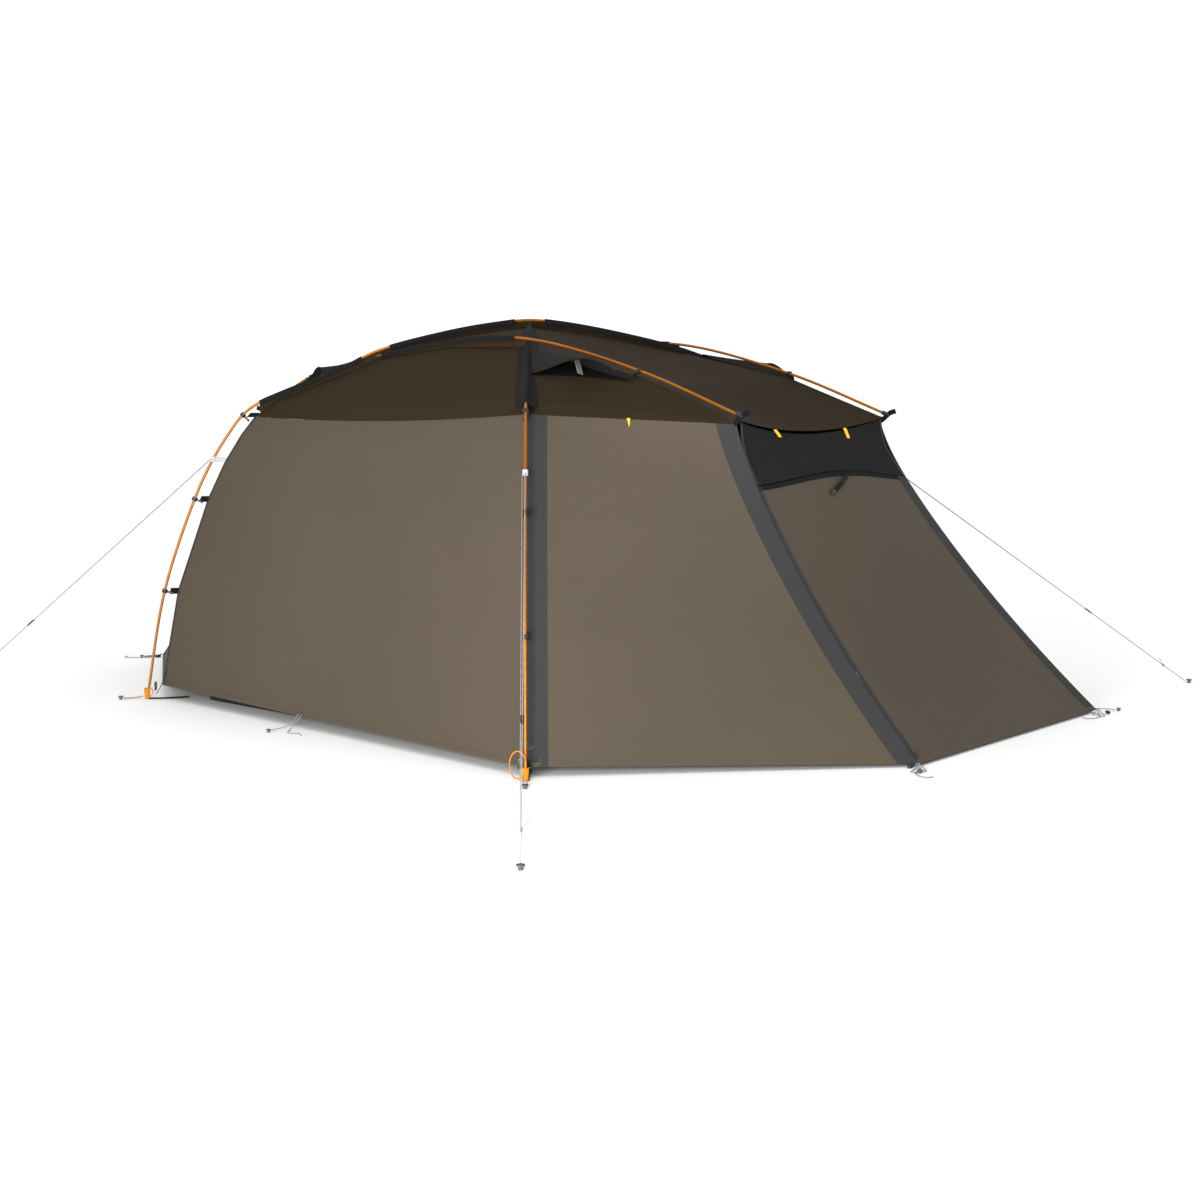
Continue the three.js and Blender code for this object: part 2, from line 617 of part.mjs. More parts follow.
// ---- guylines --------------------------------------------------------------------
ENDS.forEach((end) =>
  SIDES.forEach((side) => {
    const start = onDiagonal(end, side, reachAt(GUY.top) - GUY.off, GUY.top);
    const [x, y] = PEGS[end][side];
    const finish = V(x, y, GUY.pegZ);
    const line = lerp(start, finish);
    const path = new THREE.CatmullRomCurve3([line(0), line(0.25), line(0.5), line(0.75), line(1)]);
    piece(["guyline", end, side].join("_"), bar(path, GUY.r, 6), FINISH.cord());
    const foot = STAKE.r * STAKE.taper;
    const stake = new THREE.CylinderGeometry(STAKE.r, foot, STAKE.height, STAKE.sides);
    stake.rotateX(Math.PI / 2);
    const out = V(x - start.x, y - start.y, 0).normalize().multiplyScalar(STAKE.off);
    stake.translate(x + out.x, y + out.y, STAKE.height / 2);
    piece(["stake_head", end, side].join("_"), stake, FINISH.metal());
  }),
);

export default tent;
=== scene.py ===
"""Looks of a four-pole dome tent with two porches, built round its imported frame, in metres.

X runs from the rear door to the front door, Y from the near side to the far side, Z up.
"""

import logging
import math
from dataclasses import dataclass, field
from enum import Enum
from typing import Any, Callable, Iterable

import bmesh
import bpy
import numpy as np
from mathutils import Matrix, Vector, noise


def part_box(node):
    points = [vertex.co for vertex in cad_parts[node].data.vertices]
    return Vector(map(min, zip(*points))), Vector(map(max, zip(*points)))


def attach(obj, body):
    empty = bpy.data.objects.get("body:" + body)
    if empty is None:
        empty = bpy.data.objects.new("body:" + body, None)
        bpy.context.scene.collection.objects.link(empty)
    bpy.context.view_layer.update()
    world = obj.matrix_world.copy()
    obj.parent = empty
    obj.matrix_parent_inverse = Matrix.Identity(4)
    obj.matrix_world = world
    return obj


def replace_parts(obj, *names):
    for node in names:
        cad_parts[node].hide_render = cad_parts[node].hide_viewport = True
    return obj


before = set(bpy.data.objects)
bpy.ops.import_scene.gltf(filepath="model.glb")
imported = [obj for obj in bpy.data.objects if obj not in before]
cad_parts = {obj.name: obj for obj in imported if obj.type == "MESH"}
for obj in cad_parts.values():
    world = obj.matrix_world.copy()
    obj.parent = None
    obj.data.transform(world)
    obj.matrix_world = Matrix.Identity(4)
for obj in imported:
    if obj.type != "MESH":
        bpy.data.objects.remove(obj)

LOG = logging.getLogger("tent")
Surface = Callable[[float, float], Vector]
Edge = Callable[[float], Vector]
Object = bpy.types.Object
MM = 0.001
HEART = Vector((0, 0, 0.35))  # a point inside the tent, which every outer face looks away from


class End(Enum):
    """The two ends of the tent, with the sign of their X."""

    FRONT = ("front", 1)
    REAR = ("rear", -1)

    def __init__(self, word: str, sign: int) -> None:
        """Keeps the end's word and sign."""
        self.word = word
        self.sign = sign


class Side(Enum):
    """The two long sides of the tent, with the sign of their Y."""

    NEAR = ("near", -1)
    FAR = ("far", 1)

    def __init__(self, word: str, sign: int) -> None:
        """Keeps the side's word and sign."""
        self.word = word
        self.sign = sign


CORNERS = [(end, side) for end in End for side in Side]


# ---- small geometry ----


def mix(a: float, b: float, t: float) -> float:
    """Goes straight from a to b as t goes from 0 to 1."""
    return a + (b - a) * t


def look(pairs: list[tuple[float, float]], key: float) -> float:
    """Looks a key up in a list of (key, value) pairs.

    Args:
        pairs: the pairs, in rising order of their keys.
        key: where to look; past either end the last stretch runs on.

    Returns:
        The value, straight between the two nearest pairs.
    """
    i = 1
    while i < len(pairs) - 1 and pairs[i][0] < key:
        i += 1
    (k0, v0), (k1, v1) = pairs[i - 1], pairs[i]
    return mix(v0, v1, (key - k0) / (k1 - k0))


def straight(a: Vector, b: Vector) -> Edge:
    """Makes the straight edge from a to b."""
    return lambda t: a.lerp(b, t)


def part_of(edge: Edge, start: float, stop: float) -> Edge:
    """Makes the part of an edge between two shares of it."""
    return lambda t: edge(mix(start, stop, t))


def stretched(bottom: Edge, top: Edge, left: Edge, right: Edge, gap: float = 0.4 * MM) -> Surface:
    """Stretches a surface between four edges.

    Args:
        bottom: the edge at v = 0, running with u.
        top: the edge at v = 1, running with u.
        left: the edge at u = 0, running with v.
        right: the edge at u = 1, running with v.
        gap: how far the cloth stops short of its edges.

    Returns:
        The surface as a function of u and v.
    """
    width = ((bottom(1) - bottom(0)).length + (top(1) - top(0)).length) / 2
    height = ((left(1) - left(0)).length + (right(1) - right(0)).length) / 2
    corners = bottom(0), bottom(1), top(0), top(1)

    def point(s: float, t: float) -> Vector:
        """Blends the four edges at one place."""
        u = mix(gap / width, 1 - gap / width, s)
        v = mix(gap / height, 1 - gap / height, t)
        p = bottom(u) * (1 - v) + top(u) * v + left(v) * (1 - u) + right(v) * u
        p -= corners[0] * (1 - u) * (1 - v) + corners[1] * u * (1 - v)
        return p - corners[2] * (1 - u) * v - corners[3] * u * v

    return point


def outward_at(surface: Surface, u: float, v: float) -> Vector:
    """Finds a surface's unit normal that points away from the heart of the tent.

    Args:
        surface: the surface.
        u: place along it.
        v: place up it.

    Returns:
        The unit normal.
    """
    step = 0.01
    across = surface(min(u + step, 1), v) - surface(max(u - step, 0), v)
    up = surface(u, min(v + step, 1)) - surface(u, max(v - step, 0))
    normal = across.cross(up).normalized()
    return normal if normal.dot(surface(u, v) - HEART) > 0 else -normal


@dataclass
class Route:
    """A line through points, measured along its length."""

    points: np.ndarray

    def __post_init__(self) -> None:
        """Adds up the length along the points."""
        steps = np.linalg.norm(np.diff(self.points, axis=0), axis=1)
        self.reach = np.concatenate([[0.0], np.cumsum(steps)])

    @property
    def length(self) -> float:
        """Tells the whole length."""
        return float(self.reach[-1])

    def at(self, metres: float) -> Vector:
        """Finds the point at a length along the line."""
        return Vector([float(np.interp(metres, self.reach, self.points[:, k])) for k in range(3)])

    def direction(self, metres: float) -> Vector:
        """Finds the unit direction at a length along the line."""
        return (self.at(metres + 0.004) - self.at(metres - 0.004)).normalized()

    def nearest(self, target: Vector) -> float:
        """Finds the length along the line that is nearest to a point."""
        return float(self.reach[np.argmin(np.linalg.norm(self.points - np.array(target), axis=1))])

    def part(self, start: float, stop: float, step: float) -> list[Vector]:
        """Lists evenly spaced points of one stretch.

        Args:
            start: length along the line where the stretch begins.
            stop: length where it ends.
            step: about the distance between two points.

        Returns:
            The points.
        """
        count = max(2, round(abs(stop - start) / step))
        return [self.at(mix(start, stop, i / count)) for i in range(count + 1)]


def smooth_route(knots: list[Vector], per_span: int = 28) -> Route:
    """Runs a centripetal Catmull-Rom curve through points.

    Args:
        knots: the points that it passes.
        per_span: how many pieces each span is cut into.

    Returns:
        The curve as a route.
    """
    ends = [2 * knots[0] - knots[1], *knots, 2 * knots[-1] - knots[-2]]
    points = []
    for p0, p1, p2, p3 in zip(ends, ends[1:], ends[2:], ends[3:]):
        d0, d1, d2 = (math.sqrt((b - a).length) for a, b in ((p0, p1), (p1, p2), (p2, p3)))
        go = ((p1 - p0) / d0 - (p2 - p0) / (d0 + d1) + (p2 - p1) / d1) * d1
        come = ((p2 - p1) / d1 - (p3 - p1) / (d1 + d2) + (p3 - p2) / d2) * d1
        for i in range(per_span):
            s = i / per_span
            a, b, c = 2 * p1 - 2 * p2 + go + come, 3 * p2 - 3 * p1 - 2 * go - come, go
            points.append(tuple(p1 + c * s + b * s * s + a * s**3))
    points.append(tuple(knots[-1]))
    return Route(np.array(points))


def stand(at: Vector, forward: Vector, up: Vector) -> Matrix:
    """Makes the matrix that turns X to forward and Z close to up, and puts the origin at a place.

    Args:
        at: the place.
        forward: where X goes.
        up: about where Z goes.

    Returns:
        The matrix.
    """
    x = forward.normalized()
    y = up.cross(x).normalized()
    z = x.cross(y)
    return Matrix.Translation(at) @ Matrix((x, y, z)).transposed().to_4x4()


# ---- guiding lines ----


@dataclass(frozen=True)
class EndSizes:
    """Sizes that differ between the front and the rear."""

    foot: tuple[float, float]
    cross_x: float
    tip: tuple[float, float]
    clip: tuple[float, float]
    hem_z: float
    eave_z: float
    porch_x: float
    porch_y: dict[Side, float]
    porch_top: tuple[float, float]


FRONT_SIZES = EndSizes(
    foot=(1.012, 1.159), cross_x=0.323, tip=(1.231, 1.045), clip=(0.823, 1.188), hem_z=0.030,
    eave_z=1.052, porch_x=1.771, porch_y={Side.NEAR: -0.242, Side.FAR: 0.971}, porch_top=(1.192, 1.0),
)
REAR_SIZES = EndSizes(
    foot=(-0.996, 1.061), cross_x=-0.425, tip=(-1.100, 1.052), clip=(-0.800, 1.182), hem_z=0.050,
    eave_z=1.034, porch_x=-1.840, porch_y={Side.NEAR: -0.400, Side.FAR: 0.850}, porch_top=(-1.062, 1.0),
)


@dataclass(frozen=True)
class TentLines:
    """The lines that every piece of the tent hangs on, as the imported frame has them."""

    apex: tuple[float, float] = (-0.051, 1.378)
    leg: tuple = ((0, 0.002), (0.074, 0.400), (0.190, 0.735), (0.253, 0.868), (0.316, 0.970),
                  (0.374, 1.045), (0.431, 1.085), (0.491, 1.112))
    roof: tuple = ((0, 1.112), (0.27, 1.208), (0.45, 1.286), (0.7, 1.337), (0.85, 1.363), (1, 1.378))
    rail_y: float = 0.420
    rail_mid_z: float = 1.298
    lift: float = 0.010
    drop: float = -0.009
    fly_inset: float = 0.048
    fly_drop: float = 0.018
    seam_gap: float = 0.0004
    shoulder_share: float = 0.12
    eave_dip: float = 0.018
    canopy_back: float = 0.016
    canopy_sag: float = 0.040
    porch_hem_z: float = 0.008
    porch_bow: float = 0.060
    porch_gap: float = 0.001
    door_gap: float = 0.0016
    vent_share: float = 0.17
    pole_r: float = 0.00475

    def sizes(self, end: End) -> EndSizes:
        """Gives the sizes of one end."""
        return FRONT_SIZES if end is End.FRONT else REAR_SIZES

    def inward(self, end: End, side: Side) -> Vector:
        """Finds the level unit direction from a pole foot to the apex."""
        x, y = self.sizes(end).foot
        return Vector((self.apex[0] - x, -side.sign * y, 0)).normalized()

    def on_diagonal(self, end: End, side: Side, reach: float, z: float) -> Vector:
        """Finds a point over a diagonal pole's plan line, so far from its foot."""
        x, y = self.sizes(end).foot
        level = Vector((x, side.sign * y, z))
        return level + self.inward(end, side) * reach

    def reach_at(self, z: float) -> float:
        """Finds how far in from its foot a leg is at a height."""
        return look([(height, reach) for reach, height in self.leg], z)

    def half_length(self, end: End) -> float:
        """Tells the plan distance from a foot to the apex."""
        x, y = self.sizes(end).foot
        return math.hypot(x - self.apex[0], y)

    def on_roof(self, end: End, side: Side, share: float, lift: float = 0.0) -> Vector:
        """Finds a roof point of a diagonal pole.

        Args:
            end: the end of the foot.
            side: the side of the foot.
            share: share of the plan way from the elbow to the apex.
            lift: height over the pole's line.

        Returns:
            The point.
        """
        reach = mix(self.leg[-1][0], self.half_length(end), share)
        return self.on_diagonal(end, side, reach, look(list(self.roof), share) + lift)

    def cross_share(self, end: End) -> float:
        """Finds the share of the roof line where the roof pole crosses."""
        elbow = self.leg[-1][0]
        reach = self.half_length(end) * (1 - self.rail_y / self.sizes(end).foot[1])
        return (reach - elbow) / (self.half_length(end) - elbow)

    def half_diagonal(self, end: End, side: Side, apex_lift: float) -> list[Vector]:
        """Lists the knots of half a diagonal pole, from its foot to just short of the apex."""
        knots = [self.on_diagonal(end, side, reach, z) for reach, z in self.leg]
        cross = self.drop if end is End.FRONT else self.lift
        bends = ((0.27, cross * 0.7), (self.cross_share(end), cross),
                 (0.7, mix(cross, apex_lift, 0.7)), (0.88, apex_lift))
        return knots + [self.on_roof(end, side, share, lift) for share, lift in bends]

    def diagonal(self, rear_side: Side, front_side: Side, apex_lift: float) -> Route:
        """Makes the line of a diagonal pole, from its rear foot to its front foot."""
        rear = self.half_diagonal(End.REAR, rear_side, apex_lift)
        front = self.half_diagonal(End.FRONT, front_side, apex_lift)
        top = Vector((self.apex[0], 0, self.apex[1] + apex_lift))
        return smooth_route([*rear, top, *reversed(front)])

    def roof_pole(self, side: Side) -> Route:
        """Makes the line of a roof pole, from its rear tip to its front tip."""
        front, rear, y = FRONT_SIZES, REAR_SIZES, side.sign * self.rail_y
        cross_z = {end: self.on_roof(end, side, self.cross_share(end)).z for end in End}
        plan = [rear.tip, rear.clip, (rear.cross_x, cross_z[End.REAR] + self.drop),
                (self.apex[0], self.rail_mid_z), (front.cross_x, cross_z[End.FRONT] + self.lift),
                front.clip, front.tip]
        return smooth_route([Vector((x, y, z)) for x, z in plan])

    def rail_fly(self, side: Side, x: float) -> Vector:
        """Finds the flysheet's line under a roof pole, at one X."""
        front, rear = FRONT_SIZES, REAR_SIZES
        under = {end: self.on_roof(end, side, self.cross_share(end)).z - self.fly_drop for end in End}
        line = [(rear.tip[0], rear.tip[1] - 0.016), (rear.clip[0], rear.clip[1] - 0.018),
                (rear.cross_x, under[End.REAR]), (self.apex[0], self.rail_mid_z - 0.018),
                (front.cross_x, under[End.FRONT]), (front.clip[0], front.clip[1] - 0.018),
                (front.tip[0], front.tip[1] - 0.016)]
        return Vector((x, side.sign * self.rail_y, look(line, x)))

    def fly_tip_x(self, end: End) -> float:
        """Tells the X where the canopy stops, behind the pole tip."""
        return self.sizes(end).tip[0] - end.sign * self.canopy_back

    def along_rail(self, side: Side, start: float, stop: float) -> Edge:
        """Makes the flysheet's edge under a roof pole between two X values."""
        return lambda t: self.rail_fly(side, mix(start, stop, t))

    def leg_edge(self, end: End, side: Side) -> Edge:
        """Makes the flysheet's edge beside a leg, from the hem to the eave."""
        sizes = self.sizes(end)

        def point(t: float) -> Vector:
            """Finds one point of the edge."""
            z = mix(sizes.hem_z, sizes.eave_z, t)
            return self.on_diagonal(end, side, self.reach_at(z) + self.fly_inset, z)

        return point

    def ridge(self, end: End, side: Side) -> Edge:
        """Makes the flysheet's line under a diagonal pole, from the eave to the roof pole."""
        shoulder = self.leg_edge(end, side)(1)
        start = self.on_roof(end, side, 0, -self.fly_drop)

        def point(t: float) -> Vector:
            """Finds one point of the line."""
            if t < self.shoulder_share:
                return shoulder.lerp(start, t / self.shoulder_share)
            share = (t - self.shoulder_share) / (1 - self.shoulder_share) * self.cross_share(end)
            return self.on_roof(end, side, share, -self.fly_drop)

        return point

    def eave(self, side: Side) -> Edge:
        """Makes the seam of wall and roof, from the rear leg to the front leg."""
        rear, front = (self.leg_edge(end, side)(1) for end in (End.REAR, End.FRONT))

        def point(t: float) -> Vector:
            """Finds one point of the seam, which dips between the legs."""
            dip = 4 * t * (1 - t) * self.eave_dip
            return rear.lerp(front, t) + Vector((0, -side.sign * 0.6 * dip, -dip))

        return point

    def porch_edge(self, end: End, side: Side) -> Edge:
        """Makes a porch corner's line, from the canopy down to the ground, pulled in between."""
        sizes = self.sizes(end)
        top = Vector((sizes.porch_top[0], side.sign * (self.rail_y - 0.018), sizes.porch_top[1]))
        corner = Vector((sizes.porch_x, sizes.porch_y[side], self.porch_hem_z))
        bow = Vector((-end.sign * self.porch_bow, 0, 0))
        return lambda t: top.lerp(corner, t) + bow * 4 * t * (1 - t)

    def wall(self, side: Side) -> Surface:
        """Makes a side wall, between the two legs."""
        rear, front = self.leg_edge(End.REAR, side), self.leg_edge(End.FRONT, side)
        return stretched(straight(rear(0), front(0)), self.eave(side), rear, front, self.seam_gap)

    def roof_side(self, side: Side) -> Surface:
        """Makes the roof between a side wall and its roof pole."""
        top = self.along_rail(side, REAR_SIZES.cross_x, FRONT_SIZES.cross_x)
        ridges = self.ridge(End.REAR, side), self.ridge(End.FRONT, side)
        return stretched(self.eave(side), top, *ridges, self.seam_gap)

    def shoulder(self, end: End, side: Side) -> Surface:
        """Makes the roof corner between a diagonal pole, a roof pole and a porch."""
        tip = self.rail_fly(side, self.fly_tip_x(end))
        low = straight(self.leg_edge(end, side)(1), tip.lerp(self.porch_edge(end, side)(0), 0.35))
        beside = Vector((0, side.sign * self.seam_gap, 0))
        rail = self.along_rail(side, self.sizes(end).cross_x, self.fly_tip_x(end))

        def high(t: float) -> Vector:
            """Finds the edge beside the roof pole."""
            return rail(t) + beside

        return stretched(low, high, self.ridge(end, side), straight(low(1), high(1)), self.seam_gap)

    def porch_wall(self, end: End, side: Side) -> Surface:
        """Makes the porch wall from a leg (u = 0) to the porch corner (u = 1)."""
        leg, corner = self.leg_edge(end, side), self.porch_edge(end, side)
        under = self.shoulder(end, side)(1, 0)

        def edge(t: float) -> Vector:
            """Follows the porch corner up and then turns in under the roof."""
            return corner(1 - t) + (under - corner(0)) * t**14

        return stretched(straight(leg(0), corner(1)), straight(leg(1), under), leg, edge, self.porch_gap)

    def door_strip(self, end: End, top: float, bottom: float) -> Surface:
        """Makes a strip of a porch front between two shares of its height, near (u = 0) to far."""
        near, far = self.porch_edge(end, Side.NEAR), self.porch_edge(end, Side.FAR)
        low, high = straight(near(bottom), far(bottom)), straight(near(top), far(top))
        sides = part_of(near, bottom, top), part_of(far, bottom, top)
        return stretched(low, high, *sides, self.door_gap)

    def top_point(self, x: float, y: float) -> Vector:
        """Finds the roof between the diagonals and the roof poles, over one point of the plan."""
        end = End.FRONT if x > self.apex[0] else End.REAR
        side = Side.NEAR if y < 0 else Side.FAR
        along = abs((x - self.apex[0]) / (self.sizes(end).cross_x - self.apex[0]))
        share = max(along, abs(y / self.rail_y))
        z = look(list(self.roof), mix(1, self.cross_share(end), share)) - self.fly_drop
        cross_z = self.on_roof(end, side, self.cross_share(end)).z - self.fly_drop
        return Vector((x, y, z + (self.rail_fly(side, x).z - cross_z) * (y / self.rail_y) ** 2))


LINES = TentLines()


# ---- finishes ----


def linear(hex_code: str) -> tuple[float, float, float, float]:
    """Turns an sRGB hex value into a linear colour.

    Args:
        hex_code: the value, such as "#655b4d".

    Returns:
        Linear red, green, blue and alpha.
    """
    parts = [int(hex_code[i : i + 2], 16) / 255 for i in (1, 3, 5)]
    curve = [c / 12.92 if c <= 0.04045 else ((c + 0.055) / 1.055) ** 2.4 for c in parts]
    return (curve[0], curve[1], curve[2], 1.0)


def add_node(tree: bpy.types.NodeTree, kind: str, inputs: dict[Any, Any], **settings: Any) -> bpy.types.Node:
    """Adds a node with its settings and links.

    Args:
        tree: the material's node tree.
        kind: the node's type.
        inputs: for each input, a value or the output socket that feeds it.
        **settings: the node's own settings.

    Returns:
        The node.
    """
    node = tree.nodes.new(kind)
    for key, value in settings.items():
        setattr(node, key, value)
    for key, value in inputs.items():
        if isinstance(value, bpy.types.NodeSocket):
            tree.links.new(value, node.inputs[key])
        else:
            node.inputs[key].default_value = value
    return node


WAVE_PERIOD = math.pi / 10  # a wave texture of scale 1 repeats at this length


@dataclass(frozen=True)
class Finish:
    """A finish: its material's name, its colour, its record slot and the shade that it varies to."""

    name: str
    colour: str
    slot: str
    shade: str = "#000000"
    roughness: float = 0.6

    def nodes(self, tree: bpy.types.NodeTree, shader: bpy.types.Node) -> None:
        """Adds this finish's pattern to the shader."""

    def blotches(self, tree: bpy.types.NodeTree, vector: Any, scale: float, share: float) -> Any:
        """Mixes the colour with its shade in soft blotches.

        Args:
            tree: the material's node tree.
            vector: the socket that the noise reads.
            scale: blotches per metre.
            share: the most of the shade that is mixed in.

        Returns:
            The colour socket.
        """
        cloud = add_node(tree, "ShaderNodeTexNoise", {"Vector": vector, "Scale": scale, "Detail": 4.0})
        amount = add_node(tree, "ShaderNodeMapRange",
                          {"Value": cloud.outputs["Fac"], 1: 0.35, 2: 0.65, 3: 0.0, 4: share})
        return self.mixed(tree, amount.outputs[0], linear(self.colour), linear(self.shade))

    def mixed(self, tree: bpy.types.NodeTree, share: Any, low: Any, high: Any) -> Any:
        """Mixes two colours.

        Args:
            tree: the material's node tree.
            share: the socket that says how much of the second colour there is.
            low: the first colour or its socket.
            high: the second colour.

        Returns:
            The colour socket.
        """
        return add_node(tree, "ShaderNodeMix", {0: share, 6: low, 7: high}, data_type="RGBA").outputs[2]

    def wire(self, tree: bpy.types.NodeTree, shader: bpy.types.Node, colour: Any, height: Any,
             strength: float, depth: float) -> None:
        """Links a colour and a fine relief to the shader.

        Args:
            tree: the material's node tree.
            shader: the shader.
            colour: the colour socket.
            height: the socket that the relief follows.
            strength: strength of the relief.
            depth: its depth in metres.
        """
        bump = add_node(tree, "ShaderNodeBump", {"Height": height, "Strength": strength, "Distance": depth})
        tree.links.new(colour, shader.inputs["Base Color"])
        tree.links.new(bump.outputs[0], shader.inputs["Normal"])

    def material(self) -> bpy.types.Material:
        """Makes the material, once.

        Returns:
            The material.
        """
        found = bpy.data.materials.get(self.name)
        if found:
            return found
        made = bpy.data.materials.new(self.name)
        made.use_nodes = True
        made.diffuse_color = linear(self.colour)
        tree = made.node_tree
        shader = tree.nodes["Principled BSDF"]
        shader.inputs["Base Color"].default_value = linear(self.colour)
        shader.inputs["Roughness"].default_value = self.roughness
        self.nodes(tree, shader)
        return made


@dataclass(frozen=True)
class CoatedCloth(Finish):
    """Ripstop polyester, woven and then coated: matt, with a faint grid of thicker threads."""

    grid_mm: float = 14.0  # the real grid is 5 mm, too fine to show
    line_share: float = 0.16
    grid_depth: float = 0.22
    gloss: float = 0.12

    def nodes(self, tree: bpy.types.NodeTree, shader: bpy.types.Node) -> None:
        """Weaves the grid of thicker threads and the faint clouding of the coat."""
        place = add_node(tree, "ShaderNodeTexCoord", {})
        cloth, body = place.outputs["UV"], place.outputs["Object"]
        colour = self.blotches(tree, body, 1.1, 0.30)
        lines = []
        for way in ("X", "Y"):
            wave = add_node(tree, "ShaderNodeTexWave",
                            {"Vector": cloth, "Scale": WAVE_PERIOD / (self.grid_mm * MM)},
                            wave_type="BANDS", bands_direction=way)
            sharp = add_node(tree, "ShaderNodeMath", {0: wave.outputs["Fac"], 1: 14.0}, operation="POWER")
            lines.append(sharp.outputs[0])
        grid = add_node(tree, "ShaderNodeMath", {0: lines[0], 1: lines[1]}, operation="MAXIMUM")
        amount = add_node(tree, "ShaderNodeMath", {0: grid.outputs[0], 1: self.line_share},
                          operation="MULTIPLY")
        dyed = self.mixed(tree, amount.outputs[0], colour, linear(self.shade))
        thread = add_node(tree, "ShaderNodeTexNoise", {"Vector": cloth, "Scale": 420.0, "Detail": 2.0})
        height = add_node(tree, "ShaderNodeMath", {0: thread.outputs["Fac"], 1: grid.outputs[0]},
                          operation="ADD")
        self.wire(tree, shader, dyed, height.outputs[0], self.grid_depth, 0.5 * MM)
        shader.inputs["Specular IOR Level"].default_value = self.gloss


@dataclass(frozen=True)
class Netting(Finish):
    """Knitted polyester netting: black, with rows of small holes, drawn darker than the threads as painted
    shade, that show as a fine sparkle.
    """

    hole_mm: float = 5.0  # the real holes are about 1 mm, too fine to show

    def nodes(self, tree: bpy.types.NodeTree, shader: bpy.types.Node) -> None:
        """Knits cells of thread round holes that are drawn darker as painted shade."""
        place = add_node(tree, "ShaderNodeTexCoord", {})
        cell = add_node(tree, "ShaderNodeTexVoronoi",
                        {"Vector": place.outputs["UV"], "Scale": 1 / (self.hole_mm * MM), "Randomness": 0.25})
        ramp = add_node(tree, "ShaderNodeMapRange", {"Value": cell.outputs["Distance"], 1: 0.25, 2: 0.5})
        knit = self.mixed(tree, ramp.outputs[0], linear(self.shade), linear(self.colour))
        self.wire(tree, shader, knit, ramp.outputs[0], 0.4, 0.6 * MM)
        shader.inputs["Specular IOR Level"].default_value = 0.08


@dataclass(frozen=True)
class Webbing(Finish):
    """Flat woven webbing: ribs across the strap, with painted shade in the grooves between them, and a soft
    nap.
    """

    rib_mm: float = 3.0  # the real ribs are about 1 mm, too fine to show

    def nodes(self, tree: bpy.types.NodeTree, shader: bpy.types.Node) -> None:
        """Weaves the ribs and paints shade into the grooves between them."""
        place = add_node(tree, "ShaderNodeTexCoord", {})
        wave = add_node(tree, "ShaderNodeTexWave",
                        {"Vector": place.outputs["Object"], "Scale": WAVE_PERIOD / (self.rib_mm * MM),
                         "Distortion": 0.6}, wave_type="BANDS", bands_direction="DIAGONAL")
        ribs = self.mixed(tree, wave.outputs["Fac"], linear(self.shade), linear(self.colour))
        self.wire(tree, shader, ribs, wave.outputs["Fac"], 0.5, 0.4 * MM)
        shader.inputs["Sheen Weight"].default_value = 0.03
        shader.inputs["Specular IOR Level"].default_value = 0.15


@dataclass(frozen=True)
class Metal(Finish):
    """Drawn aluminium: bright under its dye, with fine marks along its length and rubbed patches."""

    mark_scale: float = 240.0
    rough_spread: float = 0.14
    metallic: float = 0.75

    def nodes(self, tree: bpy.types.NodeTree, shader: bpy.types.Node) -> None:
        """Adds the drawing marks, the rubbed patches and the metal itself."""
        place = add_node(tree, "ShaderNodeTexCoord", {})
        colour = self.blotches(tree, place.outputs["Object"], 14.0, 0.35)
        marks = add_node(tree, "ShaderNodeTexNoise",
                         {"Vector": place.outputs["Object"], "Scale": self.mark_scale, "Detail": 3.0})
        smoothest = self.roughness - self.rough_spread / 2
        rough = add_node(tree, "ShaderNodeMapRange", {"Value": marks.outputs["Fac"], 1: 0.3, 2: 0.7,
                                                      3: smoothest, 4: smoothest + self.rough_spread})
        self.wire(tree, shader, colour, marks.outputs["Fac"], 0.08, 0.2 * MM)
        tree.links.new(rough.outputs[0], shader.inputs["Roughness"])
        shader.inputs["Metallic"].default_value = self.metallic


@dataclass(frozen=True)
class Moulded(Finish):
    """Injection-moulded nylon: satin black with a fine spark-eroded grain."""

    grain_mm: float = 1.2  # the real grain is about 0.1 mm, too fine to show

    def nodes(self, tree: bpy.types.NodeTree, shader: bpy.types.Node) -> None:
        """Adds the grain."""
        place = add_node(tree, "ShaderNodeTexCoord", {})
        colour = self.blotches(tree, place.outputs["Object"], 60.0, 0.5)
        grain = add_node(tree, "ShaderNodeTexVoronoi",
                         {"Vector": place.outputs["Object"], "Scale": 1 / (self.grain_mm * MM)})
        self.wire(tree, shader, colour, grain.outputs["Distance"], 0.12, 0.2 * MM)


@dataclass(frozen=True)
class Braid(Finish):
    """Braided cord: pale strands that cross at a slant, drawn darker between them as painted shade."""

    strand_mm: float = 3.0  # the real strands are about 1 mm, too fine to show

    def nodes(self, tree: bpy.types.NodeTree, shader: bpy.types.Node) -> None:
        """Crosses two sets of slanting strands, with painted shade in the gaps between them."""
        place = add_node(tree, "ShaderNodeTexCoord", {})
        waves = []
        for turn in (0.0, math.pi / 2):
            turned = add_node(tree, "ShaderNodeMapping",
                              {"Vector": place.outputs["Object"], "Rotation": (turn, turn, 0.4)})
            wave = add_node(tree, "ShaderNodeTexWave",
                            {"Vector": turned.outputs[0], "Scale": WAVE_PERIOD / (self.strand_mm * MM)},
                            wave_type="BANDS", bands_direction="DIAGONAL")
            waves.append(wave.outputs["Fac"])
        crossed = add_node(tree, "ShaderNodeMath", {0: waves[0], 1: waves[1]}, operation="MAXIMUM")
        strands = self.mixed(tree, crossed.outputs[0], linear(self.shade), linear(self.colour))
        self.wire(tree, shader, strands, crossed.outputs[0], 0.4, 0.3 * MM)


# polyester with a matt coat: warm grey brown, with a faint grid that keeps big walls from looking flat
WALL = CoatedCloth("coated_polyester_wall", "#4b4338", "wall_cloth", shade="#3f382e", roughness=0.7)
